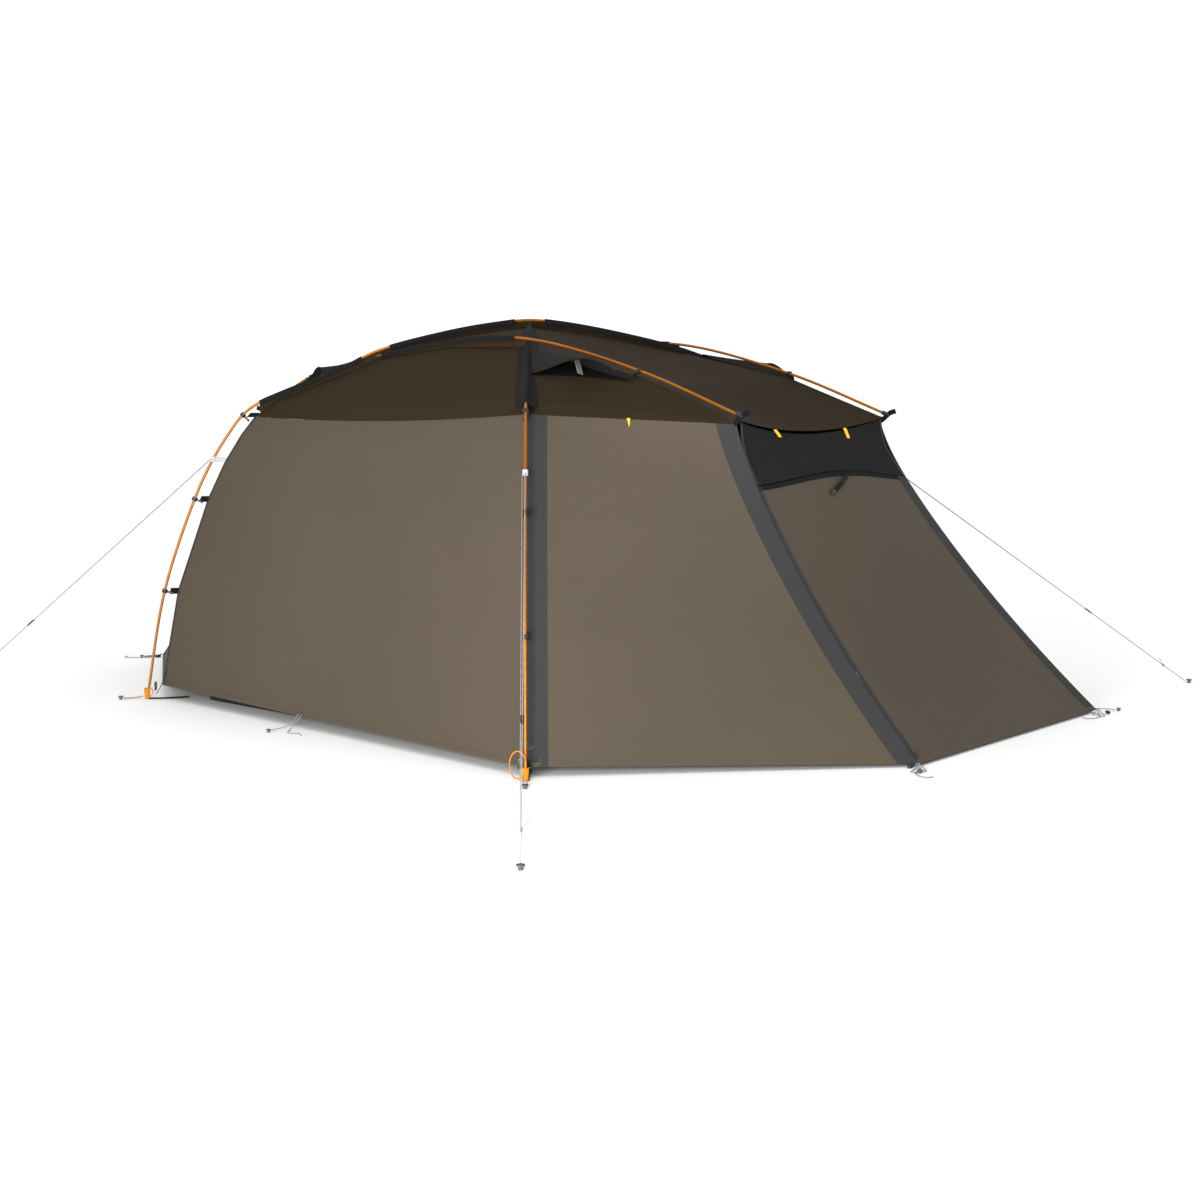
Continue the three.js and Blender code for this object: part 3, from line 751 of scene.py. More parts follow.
# the same cloth as the walls, drawn much darker as painted shade on the upward-facing roof, and duller: very
# dark brown, with almost no shine from the sky
ROOF = CoatedCloth("coated_polyester_roof", "#2d2418", "roof_cloth", shade="#221b10", roughness=0.8,
                   gloss=0.04)
# plain nylon taffeta: an even dark grey that cuts the brown panels with a clean stripe
BAND = CoatedCloth("nylon_taffeta_band", "#323233", "band_cloth", shade="#272728", roughness=0.72,
                   line_share=0.08)
# slippery nylon of the pole sleeves: near black, so the orange poles stand out where they come out of it
SLEEVE = CoatedCloth("nylon_pole_sleeve", "#1b1b1c", "pole_sleeve", shade="#121213", roughness=0.8,
                     gloss=0.04, line_share=0.08)
# stiffened nylon of the vent hoods: the band's cloth drawn darker as painted shade on the roof, and matt, so
# its fold reads by its own shadow
HOOD = CoatedCloth("nylon_hood_cloth", "#232221", "band_cloth", shade="#191918", roughness=0.8, gloss=0.04,
                   line_share=0.08)
# thin uncoated polyester: pale and soft, it lights up the inside when a door is open
INNER = CoatedCloth("breathable_inner_cloth", "#a39e90", "inner_cloth", shade="#8d8779", roughness=0.8)
# heavily coated nylon: dark, with a slight wet gleam
FLOOR = CoatedCloth("pu_coated_groundsheet", "#2a2c2f", "groundsheet_cloth", shade="#1f2124", roughness=0.5)
# fine polyester netting over the hood's opening, drawn near black as painted shade for the dark hollow, so
# the opening looks black
SHADED_HOOD_NET = Netting("hood_netting_painted_shade", "#0e0e0e", "vent_mesh", shade="#040404", roughness=0.95)
# fine polyester netting seen close: black softened to a dull dark grey by its threads
NET = Netting("knitted_netting", "#242425", "vent_mesh", shade="#0c0c0d", roughness=0.9)
# webbing stiffened with a plastic core: flat beige with ribs
STRUT = Webbing("stiffened_strut_webbing", "#857d6f", "strut_webbing", shade="#6a6356", roughness=0.8)
# woven nylon tape: strong orange with ribs that break up its light, and painted shade in the grooves between
# them
ORANGE = Webbing("orange_nylon_webbing", "#d98a1e", "orange_webbing", shade="#a5660f", roughness=0.8)
# woven nylon tape: bright yellow spots of colour on the dark eave
YELLOW = Webbing("yellow_loop_webbing", "#f5c33a", "orange_webbing", shade="#d9a21f", roughness=0.8)
# woven nylon tape: deep black, dull where the moulded parts are satin
BLACK_WEB = Webbing("black_nylon_webbing", "#101011", "black_plastic", shade="#060607", roughness=0.9)
# woven polyester tape: off-white, the lightest spot on each leg
WHITE_WEB = Webbing("pale_guy_strap_webbing", "#c4c4ca", "guy_cord", shade="#95959c", roughness=0.85)
# anodised aluminium tube: orange dye over metal, with a long soft highlight
POLE = Metal("anodised_aluminium_pole", "#a86208", "pole_alloy", shade="#7a4604", roughness=0.42)
# forged aluminium: dull grey, rubbed lighter in patches
STAKE = Metal("forged_aluminium_stake", "#5f5f62", "stake_alloy", shade="#38383a", roughness=0.45)
# moulded nylon: satin black with small crisp highlights on its edges
PLASTIC = Moulded("moulded_nylon_black", "#121213", "black_plastic", shade="#08080a", roughness=0.45)
# braided polyester: pale grey, with strands that make its light flicker and painted shade in the gaps between
# them
CORD = Braid("braided_guy_cord", "#8c8c90", "guy_cord", shade="#5c5c60", roughness=0.8)


# ---- bench ----


class Bench:
    """The operators that every sub-assembly works with."""

    @staticmethod
    def take(*objs: Object) -> None:
        """Selects only these objects, the first of them active."""
        bpy.ops.object.select_all(action="DESELECT")
        for obj in objs:
            obj.select_set(True)
        bpy.context.view_layer.objects.active = objs[0]

    @staticmethod
    def clear() -> None:
        """Deselects everything, before a primitive is added."""
        bpy.ops.object.select_all(action="DESELECT")

    @staticmethod
    def modify(obj: Object, kind: str, **settings: Any) -> None:
        """Adds a modifier and applies it.

        Args:
            obj: the object.
            kind: the modifier's type.
            **settings: its settings.
        """
        Bench.take(obj)
        modifier = obj.modifiers.new(kind.title(), kind)
        for key, value in settings.items():
            setattr(modifier, key, value)
        bpy.ops.object.modifier_apply(modifier=modifier.name)

    @staticmethod
    def pick(obj: Object, test: Callable[[Vector, Vector], bool]) -> None:
        """Goes into edit mode with only some faces selected.

        Args:
            obj: the object.
            test: says, from a face's middle and normal, if the face is selected.
        """
        Bench.take(obj)
        bpy.ops.object.mode_set(mode="EDIT")
        bpy.ops.mesh.select_mode(type="FACE")
        bpy.ops.mesh.select_all(action="DESELECT")
        mesh = bmesh.from_edit_mesh(obj.data)
        for face in mesh.faces:
            face.select_set(test(face.calc_center_median(), face.normal))
        mesh.select_flush_mode()
        bmesh.update_edit_mesh(obj.data)

    @staticmethod
    def done() -> None:
        """Leaves edit mode."""
        bpy.ops.object.mode_set(mode="OBJECT")

    @staticmethod
    def recess(obj: Object, test: Callable[[Vector, Vector], bool], inset: float, push: float = 0.0,
               rise: float = 0.0) -> None:
        """Insets some faces and then moves what is inside.

        Args:
            obj: the object.
            test: says, from a face's middle and normal, if the face is taken.
            inset: width of the rim that is left.
            push: how far the faces go out along their normals, when it isn't 0.
            rise: how far they go along Z otherwise.
        """
        Bench.pick(obj, test)
        bpy.ops.mesh.inset(thickness=inset)
        if push:
            bpy.ops.mesh.extrude_region_shrink_fatten(TRANSFORM_OT_shrink_fatten={"value": push})
        else:
            bpy.ops.mesh.extrude_region_move(TRANSFORM_OT_translate={"value": (0, 0, rise)})
        Bench.done()

    @staticmethod
    def join(name: str, parts: list[Object]) -> Object:
        """Joins parts into one piece.

        Args:
            name: the piece's name.
            parts: the parts.

        Returns:
            The piece.
        """
        Bench.take(*parts)
        bpy.ops.object.join()
        parts[0].name = name
        parts[0].data.name = name
        return parts[0]

    @staticmethod
    def block(size: tuple[float, float, float], bevel: float,
              at: tuple[float, float, float] = (0, 0, 0)) -> Object:
        """Makes a block with rounded edges.

        Args:
            size: its length, width and height.
            bevel: the radius of its edges.
            at: its middle.

        Returns:
            The block.
        """
        Bench.clear()
        bpy.ops.mesh.primitive_cube_add(size=1, location=at, scale=size)
        obj = bpy.context.object
        bpy.ops.object.transform_apply(location=True, rotation=True, scale=True)
        Bench.pick(obj, lambda middle, normal: True)
        bpy.ops.mesh.select_mode(type="EDGE")
        bpy.ops.mesh.select_all(action="SELECT")
        bpy.ops.mesh.bevel(offset=bevel, segments=2)
        Bench.done()
        return obj

    @staticmethod
    def drum(radius: float, height: float, at: tuple[float, float, float], sides: int = 20) -> Object:
        """Makes an upright cylinder, with its place in its mesh.

        Args:
            radius: its radius.
            height: its height.
            at: its middle.
            sides: number of sides.

        Returns:
            The cylinder.
        """
        Bench.clear()
        bpy.ops.mesh.primitive_cylinder_add(vertices=sides, radius=radius, depth=height, location=at)
        bpy.ops.object.transform_apply(location=True, rotation=True, scale=True)
        return bpy.context.object

    @staticmethod
    def ring(outer: float, wall: float, height: float, sides: int = 20) -> Object:
        """Makes an upright ring with an open middle.

        Args:
            outer: its outer radius.
            wall: its wall thickness.
            height: its height.
            sides: number of sides.

        Returns:
            The ring.
        """
        obj = Bench.drum(outer, height, (0, 0, 0), sides)
        Bench.pick(obj, lambda middle, normal: abs(normal.z) > 0.9)
        bpy.ops.mesh.inset(thickness=wall)
        bpy.ops.mesh.bridge_edge_loops()
        Bench.done()
        return obj

    @staticmethod
    def copy(template: Object, name: str, matrix: Matrix) -> Object:
        """Copies a template with its own mesh and puts the place into the mesh.

        Args:
            template: the piece to copy.
            name: the copy's name.
            matrix: where the copy goes.

        Returns:
            The copy.
        """
        made = template.copy()
        made.data = template.data.copy()
        made.name = name
        made.data.name = name
        made.data.transform(matrix)
        bpy.context.scene.collection.objects.link(made)
        return made

    @staticmethod
    def put(template: Object, name: str, matrix: Matrix, finish: Finish, body: str = "frame") -> Object:
        """Copies a template to its place and dresses it.

        Args:
            template: the piece to copy.
            name: the copy's name.
            matrix: where the copy goes.
            finish: its finish.
            body: the CAD body that it moves with.

        Returns:
            The copy.
        """
        return Bench.dress(Bench.copy(template, name, matrix), finish, body)

    @staticmethod
    def scrap(*templates: Object) -> None:
        """Removes templates that have been copied."""
        for template in templates:
            bpy.data.objects.remove(template)

    @staticmethod
    def dress(obj: Object, finish: Finish, body: str = "frame", angle: float = 40.0) -> Object:
        """Gives a piece its smooth shading, material and body.

        Args:
            obj: the piece.
            finish: its finish.
            body: the CAD body that it moves with.
            angle: edges sharper than this many degrees stay sharp.

        Returns:
            The piece.
        """
        if obj.type == "MESH":
            Bench.take(obj)
            bpy.ops.object.shade_smooth_by_angle(angle=math.radians(angle))
        obj.data.materials.clear()
        obj.data.materials.append(finish.material())
        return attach(obj, body)


def sew(name: str, surface: Surface, cells: tuple[int, int], finish: Finish, body: str = "frame",
        thickness: float = 0.8 * MM, heart: Vector = HEART) -> Object:
    """Makes a thin closed cloth from a surface, with its own UV map in metres.

    Args:
        name: the piece's name.
        surface: its outer face.
        cells: cells along u and v.
        finish: its finish.
        body: the CAD body that it moves with.
        thickness: thickness of the cloth, laid on the inner side.
        heart: a point on the inner side.

    Returns:
        The piece.
    """
    nu, nv = cells
    Bench.clear()
    bpy.ops.mesh.primitive_grid_add(x_subdivisions=nu, y_subdivisions=nv, size=1)
    obj = bpy.context.object
    obj.name = name
    obj.data.name = name
    flat = [(v.co.x + 0.5, v.co.y + 0.5) for v in obj.data.vertices]
    placed = [surface(u, v) for u, v in flat]
    obj.data.vertices.foreach_set("co", np.array(placed, np.float32).ravel())
    obj.data.update()
    width, height = measure(surface)
    scale = Vector((width, height))
    for loop in obj.data.uv_layers.active.data:
        loop.uv = loop.uv * scale
    total = sum((p.normal.dot(p.center - heart) * p.area for p in obj.data.polygons), 0.0)
    if total < 0:
        obj.data.flip_normals()
    Bench.modify(obj, "SOLIDIFY", thickness=thickness, offset=-1.0)
    return Bench.dress(obj, finish, body, 50)


def measure(surface: Surface, count: int = 16) -> tuple[float, float]:
    """Measures a surface's greatest width and height along the cloth.

    Args:
        surface: the surface.
        count: how many steps each line is measured in.

    Returns:
        Width and height.
    """
    steps = [i / count for i in range(count + 1)]

    def length(line: list[Vector]) -> float:
        """Adds up a line's length."""
        return sum((b - a).length for a, b in zip(line, line[1:]))

    widths = [length([surface(u, v) for u in steps]) for v in (0, 0.5, 1)]
    heights = [length([surface(u, v) for v in steps]) for u in (0, 0.5, 1)]
    return max(widths), max(heights)


def declare_sheet(obj: Object, surface: Surface) -> Object:
    """Measures a cloth's surface and walks its cells, but keeps nothing and gives the cloth back as it was.

    Args:
        obj: the cloth.
        surface: its surface.

    Returns:
        The cloth.
    """
    width, height = measure(surface)
    count = 24
    for i in range(count):
        for j in range(count):
            corners = [surface((i + a) / count, (j + b) / count) for a, b in ((0, 0), (1, 0), (1, 1), (0, 1))]
    return obj


def tube(name: str, points: list[Vector], radius: float, scales: list[float] | None = None,
         rounds: int = 3, keep_curve: bool = False) -> Object:
    """Makes a round bar or cord along points.

    Args:
        name: the piece's name.
        points: its centreline.
        radius: its radius.
        scales: the radius at each point as a share of the radius.
        rounds: how round its section is.
        keep_curve: leaves it a curve, as a cord needs.

    Returns:
        The piece.
    """
    line = bpy.data.curves.new(name, "CURVE")
    line.dimensions = "3D"
    line.bevel_depth = radius
    line.bevel_resolution = rounds
    line.use_fill_caps = True
    spline = line.splines.new("POLY")
    spline.points.add(len(points) - 1)
    for i, point in enumerate(points):
        spline.points[i].co = (*point, 1)
        spline.points[i].radius = scales[i] if scales else 1.0
    spline.use_smooth = True
    obj = bpy.data.objects.new(name, line)
    bpy.context.scene.collection.objects.link(obj)
    if not keep_curve:
        Bench.take(obj)
        bpy.ops.object.convert(target="MESH")
        obj = bpy.context.object
        obj.name = name
    return obj


def declare_cord(obj: Object, start: Vector, length: float, radius: float) -> Object:
    """Gives a cord back as it was.

    Args:
        obj: the cord.
        start: where it leaves what holds it.
        length: its length; not used.
        radius: its radius; not used.

    Returns:
        The cord.
    """
    return (obj, tuple(start))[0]


def strap(name: str, points: list[Vector], across: Vector, width: float, finish: Finish,
          body: str = "frame", thickness: float = 1.4 * MM) -> Object:
    """Makes a flat strap along points.

    Args:
        name: the piece's name.
        points: its middle line.
        across: the direction of its width.
        width: its width.
        finish: its finish.
        body: the CAD body that it moves with.
        thickness: its thickness.

    Returns:
        The strap.
    """
    route = smooth_route(points, 8) if len(points) > 2 else Route(np.array([tuple(p) for p in points]))
    side = across.normalized() * width

    def surface(u: float, v: float) -> Vector:
        """Finds one point of the strap."""
        return route.at(u * route.length) + side * (v - 0.5)

    cells = (max(4, round(route.length / 0.006)), 2)
    return sew(name, surface, cells, finish, body, thickness, heart=Vector((0, 0, -50)))


# ---- studio ----


@dataclass
class Studio:
    """Camera, floor and soft light."""

    eye: tuple[float, float, float] = (4.397, -4.737, 1.10)
    forward: tuple[float, float] = (-0.655, 0.756)
    pitch_deg: float = 6.63
    lens: float = 52.03
    floor_size: float = 90.0
    sky: float = 1.10
    key_at: tuple[float, float, float] = (2.6, -4.6, 0.8)
    key_aim: tuple[float, float, float] = (0.9, -0.6, 0.45)
    key_size: float = 1.4
    key_power: float = 255

    def camera(self) -> None:
        """Sets the camera up."""
        data = bpy.data.cameras.new("camera")
        data.lens = self.lens
        data.sensor_width = 36.0
        data.clip_end = 200.0
        camera = bpy.data.objects.new("camera", data)
        pitch = math.radians(self.pitch_deg)
        level = Vector((*self.forward, 0)).normalized()
        way = level * math.cos(pitch) + Vector((0, 0, -math.sin(pitch)))
        camera.location = self.eye
        camera.rotation_euler = way.to_track_quat("-Z", "Y").to_euler()
        bpy.context.scene.collection.objects.link(camera)
        bpy.context.scene.camera = camera

    def floor(self) -> None:
        """Lays a plain pale floor."""
        Bench.clear()
        bpy.ops.mesh.primitive_plane_add(size=self.floor_size)
        floor = bpy.context.object
        floor.name = "floor"
        made = bpy.data.materials.new("matt_pale_floor")
        made.use_nodes = True
        shader = made.node_tree.nodes["Principled BSDF"]
        shader.inputs["Base Color"].default_value = linear("#f6f6f5")
        shader.inputs["Roughness"].default_value = 0.95
        shader.inputs["Specular IOR Level"].default_value = 0.1
        floor.data.materials.append(made)

    def key(self) -> None:
        """Hangs a broad key lamp low in front of the near porch."""
        data = bpy.data.lights.new("key_light", "AREA")
        data.size = self.key_size
        data.energy = self.key_power
        lamp = bpy.data.objects.new("key_light", data)
        lamp.location = self.key_at
        lamp.visible_camera = False
        way = Vector(self.key_aim) - Vector(self.key_at)
        lamp.rotation_euler = way.to_track_quat("-Z", "Y").to_euler()
        bpy.context.scene.collection.objects.link(lamp)

    def lights(self) -> None:
        """Fills the room with soft white light, adds the key and leaves the colours as they are."""
        world = bpy.data.worlds.new("white_studio")
        world.use_nodes = True
        back = world.node_tree.nodes["Background"]
        back.inputs["Color"].default_value = (1, 1, 1, 1)
        back.inputs["Strength"].default_value = self.sky
        bpy.context.scene.world = world
        self.key()
        bpy.context.scene.view_settings.view_transform = "Standard"

    def build(self) -> None:
        """Makes the whole studio."""
        self.camera()
        self.floor()
        self.lights()


# ---- guylines ----


@dataclass
class Guylines:
    """Four guylines with their runners, knots and stakes, and the straps that hold them to the legs."""

    radius: float = 1.4 * MM
    top_z: float = 0.880
    off: float = 0.010
    peg_z: float = 0.006
    peg_out: float = 0.014
    runner_share: float = 0.68
    knot_back: float = 0.11
    knot_turns: int = 3
    knot_radius: float = 3.2 * MM
    pegs: dict = field(default_factory=lambda: {
        (End.FRONT, Side.NEAR): (1.645, -1.846), (End.FRONT, Side.FAR): (1.750, 1.800),
        (End.REAR, Side.NEAR): (-1.530, -1.555), (End.REAR, Side.FAR): (-1.530, 1.555)})

    def build(self) -> None:
        """Makes every guyline."""
        self.stake = stake_template()
        self.runner = self.runner_template()
        for end, side in CORNERS:
            self.line(end, side)
        Bench.scrap(self.stake, self.runner)

    def runner_template(self) -> Object:
        """Makes a moulded line runner with two holes, lying along X."""
        body = Bench.block((0.026, 0.011, 0.0055), 1.2 * MM)
        Bench.recess(body, lambda middle, normal: normal.z > 0.95 and abs(middle.z) > 2.5 * MM, 1.4 * MM,
                     rise=-1.6 * MM)
        hook = Bench.ring(4.2 * MM, 1.3 * MM, 4.5 * MM, 16)
        hook.data.transform(Matrix.Translation((0.015, 0, 0)))
        return Bench.join("runner_template", [body, hook])

    def line(self, end: End, side: Side) -> None:
        """Makes one guyline and what is on it.

        Args:
            end: which end.
            side: which side.
        """
        tag = f"{end.word}_{side.word}"
        start = LINES.on_diagonal(end, side, LINES.reach_at(self.top_z) - self.off, self.top_z)
        x, y = self.pegs[(end, side)]
        finish = Vector((x, y, self.peg_z))
        route = Route(np.array([tuple(start), tuple(finish)]))
        points = route.part(0, route.length, route.length / 24)
        cord = tube(f"guy_cord_{tag}", points, self.radius, rounds=2, keep_curve=True)
        Bench.dress(cord, CORD)
        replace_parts(cord, f"guyline_{tag}")
        away = (finish - start).normalized()
        flat = Vector((away.x, away.y, 0)).normalized()
        peg = Matrix.Translation(Vector((x, y, 0)) + flat * self.peg_out)
        head = Bench.put(self.stake, f"stake_{tag}", peg, STAKE)
        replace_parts(head, f"stake_head_{tag}")
        place = stand(route.at(route.length * self.runner_share), away, Vector((0, 0, 1)))
        runner = Bench.put(self.runner, f"line_runner_{tag}", place, PLASTIC)
        knot = self.knot(tag, route.at(route.length - self.knot_back), away)
        declare_cord(cord, start, route.length, self.radius)
        self.strand(tag, start, route, away)
        self.leg_strap(tag, end, side)

    def strand(self, tag: str, start: Vector, route: Route, away: Vector) -> None:
        """Runs the line's second strand from the strap down to the knot.

        Args:
            tag: the corner's name.
            start: where the first strand leaves the strap.
            route: the first strand.
            away: its direction.
        """
        beside = away.cross(Vector((0, 0, 1))).normalized()
        begin, knot = start + beside * 9 * MM, route.at(route.length - self.knot_back) + beside * 3 * MM
        line = Route(np.array([tuple(begin), tuple(knot)]))
        points, thin = line.part(0, line.length, line.length / 24), self.radius * 0.8
        cord = tube(f"guy_return_{tag}", points, thin, rounds=2, keep_curve=True)
        Bench.dress(cord, CORD)
        declare_cord(cord, begin, line.length, thin)

    def knot(self, tag: str, at: Vector, along: Vector) -> Object:
        """Winds a small stopper knot on the line, with a short tail.

        Args:
            tag: the corner's name.
            at: its middle.
            along: the direction of the line.

        Returns:
            The knot.
        """
        count = 12 * self.knot_turns
        frame_of = stand(at, along, Vector((0, 0, 1)))
        wound = []
        for i in range(count + 1):
            angle = 2 * math.pi * self.knot_turns * i / count
            across = Vector((0, math.cos(angle), math.sin(angle))) * self.knot_radius
            wound.append(frame_of @ (across + Vector((mix(-0.006, 0.006, i / count), 0, 0))))
        tail = [frame_of @ Vector((-0.010, 0.010, 0.006)), frame_of @ Vector((-0.020, 0.022, 0.014))]
        knot = tube(f"line_knot_{tag}", [*reversed(tail), *wound], 1.3 * MM, rounds=1)
        return Bench.dress(knot, CORD)

    def leg_strap(self, tag: str, end: End, side: Side) -> None:
        """Wraps the pale guy strap round the leg and takes it back to the flysheet.

        Args:
            tag: the corner's name.
            end: which end.
            side: which side.
        """
        inward = LINES.inward(end, side)
        middle = LINES.on_diagonal(end, side, LINES.reach_at(self.top_z), self.top_z)
        level = Vector((-inward.y, inward.x, 0))
        loop = []
        for i in range(13):
            angle = mix(math.radians(-150), math.radians(150), i / 12)
            turn = -inward * math.cos(angle) + level * math.sin(angle)
            loop.append(middle + turn * 7.6 * MM)
        tail = middle + inward * 0.044 + Vector((0, 0, -0.004))
        strap(f"guy_strap_{tag}", [tail + level * 1.5 * MM, *loop, tail - level * 1.5 * MM],
              Vector((0, 0, 1)) + inward * 0.4, 0.020, WHITE_WEB)


def stake_template() -> Object:
    """Makes the head of a driven stake: a rounded cap over a ribbed neck.

    Returns:
        The template.
    """
    cap = Bench.drum(11 * MM, 4 * MM, (0, 0, 11.5 * MM), 24)
    Bench.pick(cap, lambda middle, normal: normal.z > 0.9)
    bpy.ops.mesh.inset(thickness=4.5 * MM)
    bpy.ops.transform.translate(value=(0, 0, 1.4 * MM))
    bpy.ops.mesh.inset(thickness=2.5 * MM)
    bpy.ops.mesh.extrude_region_move(TRANSFORM_OT_translate={"value": (0, 0, -1.0 * MM)})
    Bench.done()
    neck = Bench.drum(6.5 * MM, 9.4 * MM, (0, 0, 4.8 * MM), 12)

    def between_ribs(middle: Vector, normal: Vector) -> bool:
        """Takes every second group of side faces."""
        return abs(normal.z) < 0.5 and math.sin(6 * math.atan2(middle.y, middle.x)) > 0

    Bench.recess(neck, between_ribs, 0.8 * MM, push=-1.2 * MM)
    return Bench.join("stake_template", [cap, neck])


# ---- poles ----


@dataclass
class Poles:
    """The two diagonal poles and the two roof poles, with their joints, feet and end caps."""

    joint_every: float = 0.46
    collar: float = 1.10
    collar_long: float = 0.004

    def __post_init__(self) -> None:
        """Lays the four pole lines."""
        self.diagonals = {"a": LINES.diagonal(Side.NEAR, Side.FAR, LINES.lift),
                          "b": LINES.diagonal(Side.FAR, Side.NEAR, LINES.drop)}
        self.rails = {side: LINES.roof_pole(side) for side in Side}

    def rod(self, name: str, node: str, route: Route) -> Object:
        """Makes one pole with a raised collar at each joint.

        Args:
            name: the piece's name.
            node: the CAD node that it stands for.
            route: its centreline.

        Returns:
            The pole.
        """
        places = [(metres, 1.0) for metres in np.arange(0, route.length, 0.02)] + [(route.length, 1.0)]
        joints = round(route.length / self.joint_every)
        half = self.collar_long / 2
        for i in range(1, joints):
            middle = route.length * i / joints
            places = [p for p in places if abs(p[0] - middle) > 2 * half]
            places += [(middle - half - 0.3 * MM, 1.0), (middle - half, self.collar),
                       (middle + half, self.collar), (middle + half + 0.3 * MM, 1.0)]
        places.sort()
        points = [route.at(metres) for metres, _ in places]
        made = tube(name, points, LINES.pole_r, [scale for _, scale in places], rounds=4)
        Bench.dress(made, POLE, "frame", 35)
        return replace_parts(made, node)

    def build(self) -> None:
        """Makes the poles and their caps."""
        for key, route in self.diagonals.items():
            self.rod(f"dome_pole_{key}", f"diagonal_pole_{key}", route)
        for side, route in self.rails.items():
            self.rod(f"ridge_pole_{side.word}", f"roof_pole_{side.word}", route)
        self.caps()

    def caps(self) -> None:
        """Puts a moulded cap on each roof pole tip."""
        cap = Bench.drum(7.4 * MM, 0.026, (0, 0, 0), 20)
        Bench.pick(cap, lambda middle, normal: normal.z > 0.9)
        bpy.ops.mesh.inset(thickness=2.0 * MM)
        bpy.ops.mesh.extrude_region_move(TRANSFORM_OT_translate={"value": (0, 0, 3.0 * MM)})
        bpy.ops.mesh.inset(thickness=1.5 * MM)
        Bench.done()
        for side, route in self.rails.items():
            for end, metres in ((End.REAR, 0.008), (End.FRONT, route.length - 0.008)):
                way = route.direction(metres) * end.sign
                turned = way.to_track_quat("Z", "Y").to_matrix().to_4x4()
                Bench.put(cap, f"pole_cap_{end.word}_{side.word}",
                          Matrix.Translation(route.at(metres)) @ turned, PLASTIC)
        Bench.scrap(cap)


# ---- sleeves ----


@dataclass
class Sleeves:
    """Dark cloth sleeves sewn on the roof, each a tunnel for a pole between two flat skirts."""

    poles: Poles
    skirt: float = 0.011
    wide_skirt: float = 0.032
    tunnel: float = 0.0074
    drop: float = 0.010
    wide_drop: float = 0.015
    web: float = 0.034
    gap: float = 0.055
    rail_gap: tuple[float, float] = (0.03, 0.05)
    elbow: tuple[float, float] = (0.431, 1.085)

    def section(self, v: float, skirt: float, drop: float) -> tuple[float, float]:
        """Gives the sleeve's outline: how far across and how high over the pole, v from 0 to 1."""
        across = mix(-skirt, skirt, v)
        share = abs(across) / self.tunnel
        if share < 1:
            return across, self.tunnel * math.sqrt(max(0.0, 1 - share * share))
        fall = min(1.0, (abs(across) - self.tunnel) / (skirt - self.tunnel))
        return across, -drop * (1 - (1 - fall) ** 1.8)

    def underlay(self, name: str, route: Route, start: float, stop: float) -> None:
        """Sews the upright strip of roof cloth that joins a sleeve to the roof.

        Args:
            name: the piece's name.
            route: the pole's centreline.
            start: length along the pole where the strip begins.
            stop: length where it ends.
        """

        def surface(u: float, v: float) -> Vector:
            """Finds one point of the strip."""
            return route.at(mix(start, stop, u)) + Vector((0, 0, mix(-self.web, -LINES.pole_r, v)))

        made = sew(name, surface, (max(6, round(abs(stop - start) / 0.03)), 3), ROOF)
        declare_sheet(made, surface)

    def sleeve(self, name: str, route: Route, start: float, stop: float, nodes: Iterable[str],
               wide: bool = False) -> None:
        """Sews one sleeve.

        Args:
            name: the piece's name.
            route: the pole's centreline.
            start: length along the pole where the sleeve begins.
            stop: length where it ends.
            nodes: the CAD nodes that it stands for.
            wide: True for the sleeve with broad skirts.
        """
        skirt, drop = (self.wide_skirt, self.wide_drop) if wide else (self.skirt, self.drop)

        def surface(u: float, v: float) -> Vector:
            """Finds one point of the sleeve."""
            metres = mix(start, stop, u)
            along = route.direction(metres)
            level = along.cross(Vector((0, 0, 1))).normalized()
            up = level.cross(along)
            across, height = self.section(v, skirt, drop)
            wave = 0.6 * MM * math.sin(metres * 70 + 4 * v) if abs(across) > self.tunnel else 0.0
            return route.at(metres) + level * across + up * (height + wave)

        length = abs(stop - start)
        made = sew(name, surface, (max(6, round(length / 0.022)), 18), SLEEVE, thickness=0.7 * MM)
        if nodes:
            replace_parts(made, *nodes)
        declare_sheet(made, surface)

    def build(self) -> None:
        """Sews every sleeve, with bare gaps where poles cross."""
        a, b = self.poles.diagonals["a"], self.poles.diagonals["b"]
        apex = Vector((LINES.apex[0], 0, LINES.apex[1]))
        cross = a.nearest(LINES.on_roof(End.REAR, Side.NEAR, LINES.cross_share(End.REAR)))
        first = a.nearest(LINES.on_diagonal(End.REAR, Side.NEAR, *self.elbow))
        last = a.nearest(LINES.on_diagonal(End.FRONT, Side.FAR, *self.elbow))
        stops = [first, cross, a.nearest(apex), last]
        for i, (start, stop) in enumerate(zip(stops, stops[1:])):
            begin = start + (self.gap if i else 0)
            finish = stop - (self.gap if i < 2 else 0)
            self.sleeve(f"pole_sleeve_a_{i + 1}", a, begin, finish, [f"sleeve_a_{i + 1}"])
        self.underlay("sleeve_underlay_a", a, first, last)
        start = b.nearest(LINES.on_diagonal(End.REAR, Side.FAR, *self.elbow))
        stop = b.nearest(LINES.on_diagonal(End.FRONT, Side.NEAR, *self.elbow))
        self.sleeve("pole_sleeve_b", b, start, stop, ["sleeve_b_1"], True)
        for side, route in self.poles.rails.items():
            reach = {end: route.nearest(Vector((LINES.sizes(end).cross_x, side.sign * LINES.rail_y, 1.25)))
                     for end in End}
            self.sleeve(f"pole_sleeve_{side.word}", route, reach[End.REAR] + self.rail_gap[0],
                        reach[End.FRONT] - self.rail_gap[1], [])
            self.underlay(f"sleeve_underlay_{side.word}", route, reach[End.REAR], reach[End.FRONT])


# ---- flysheet ----


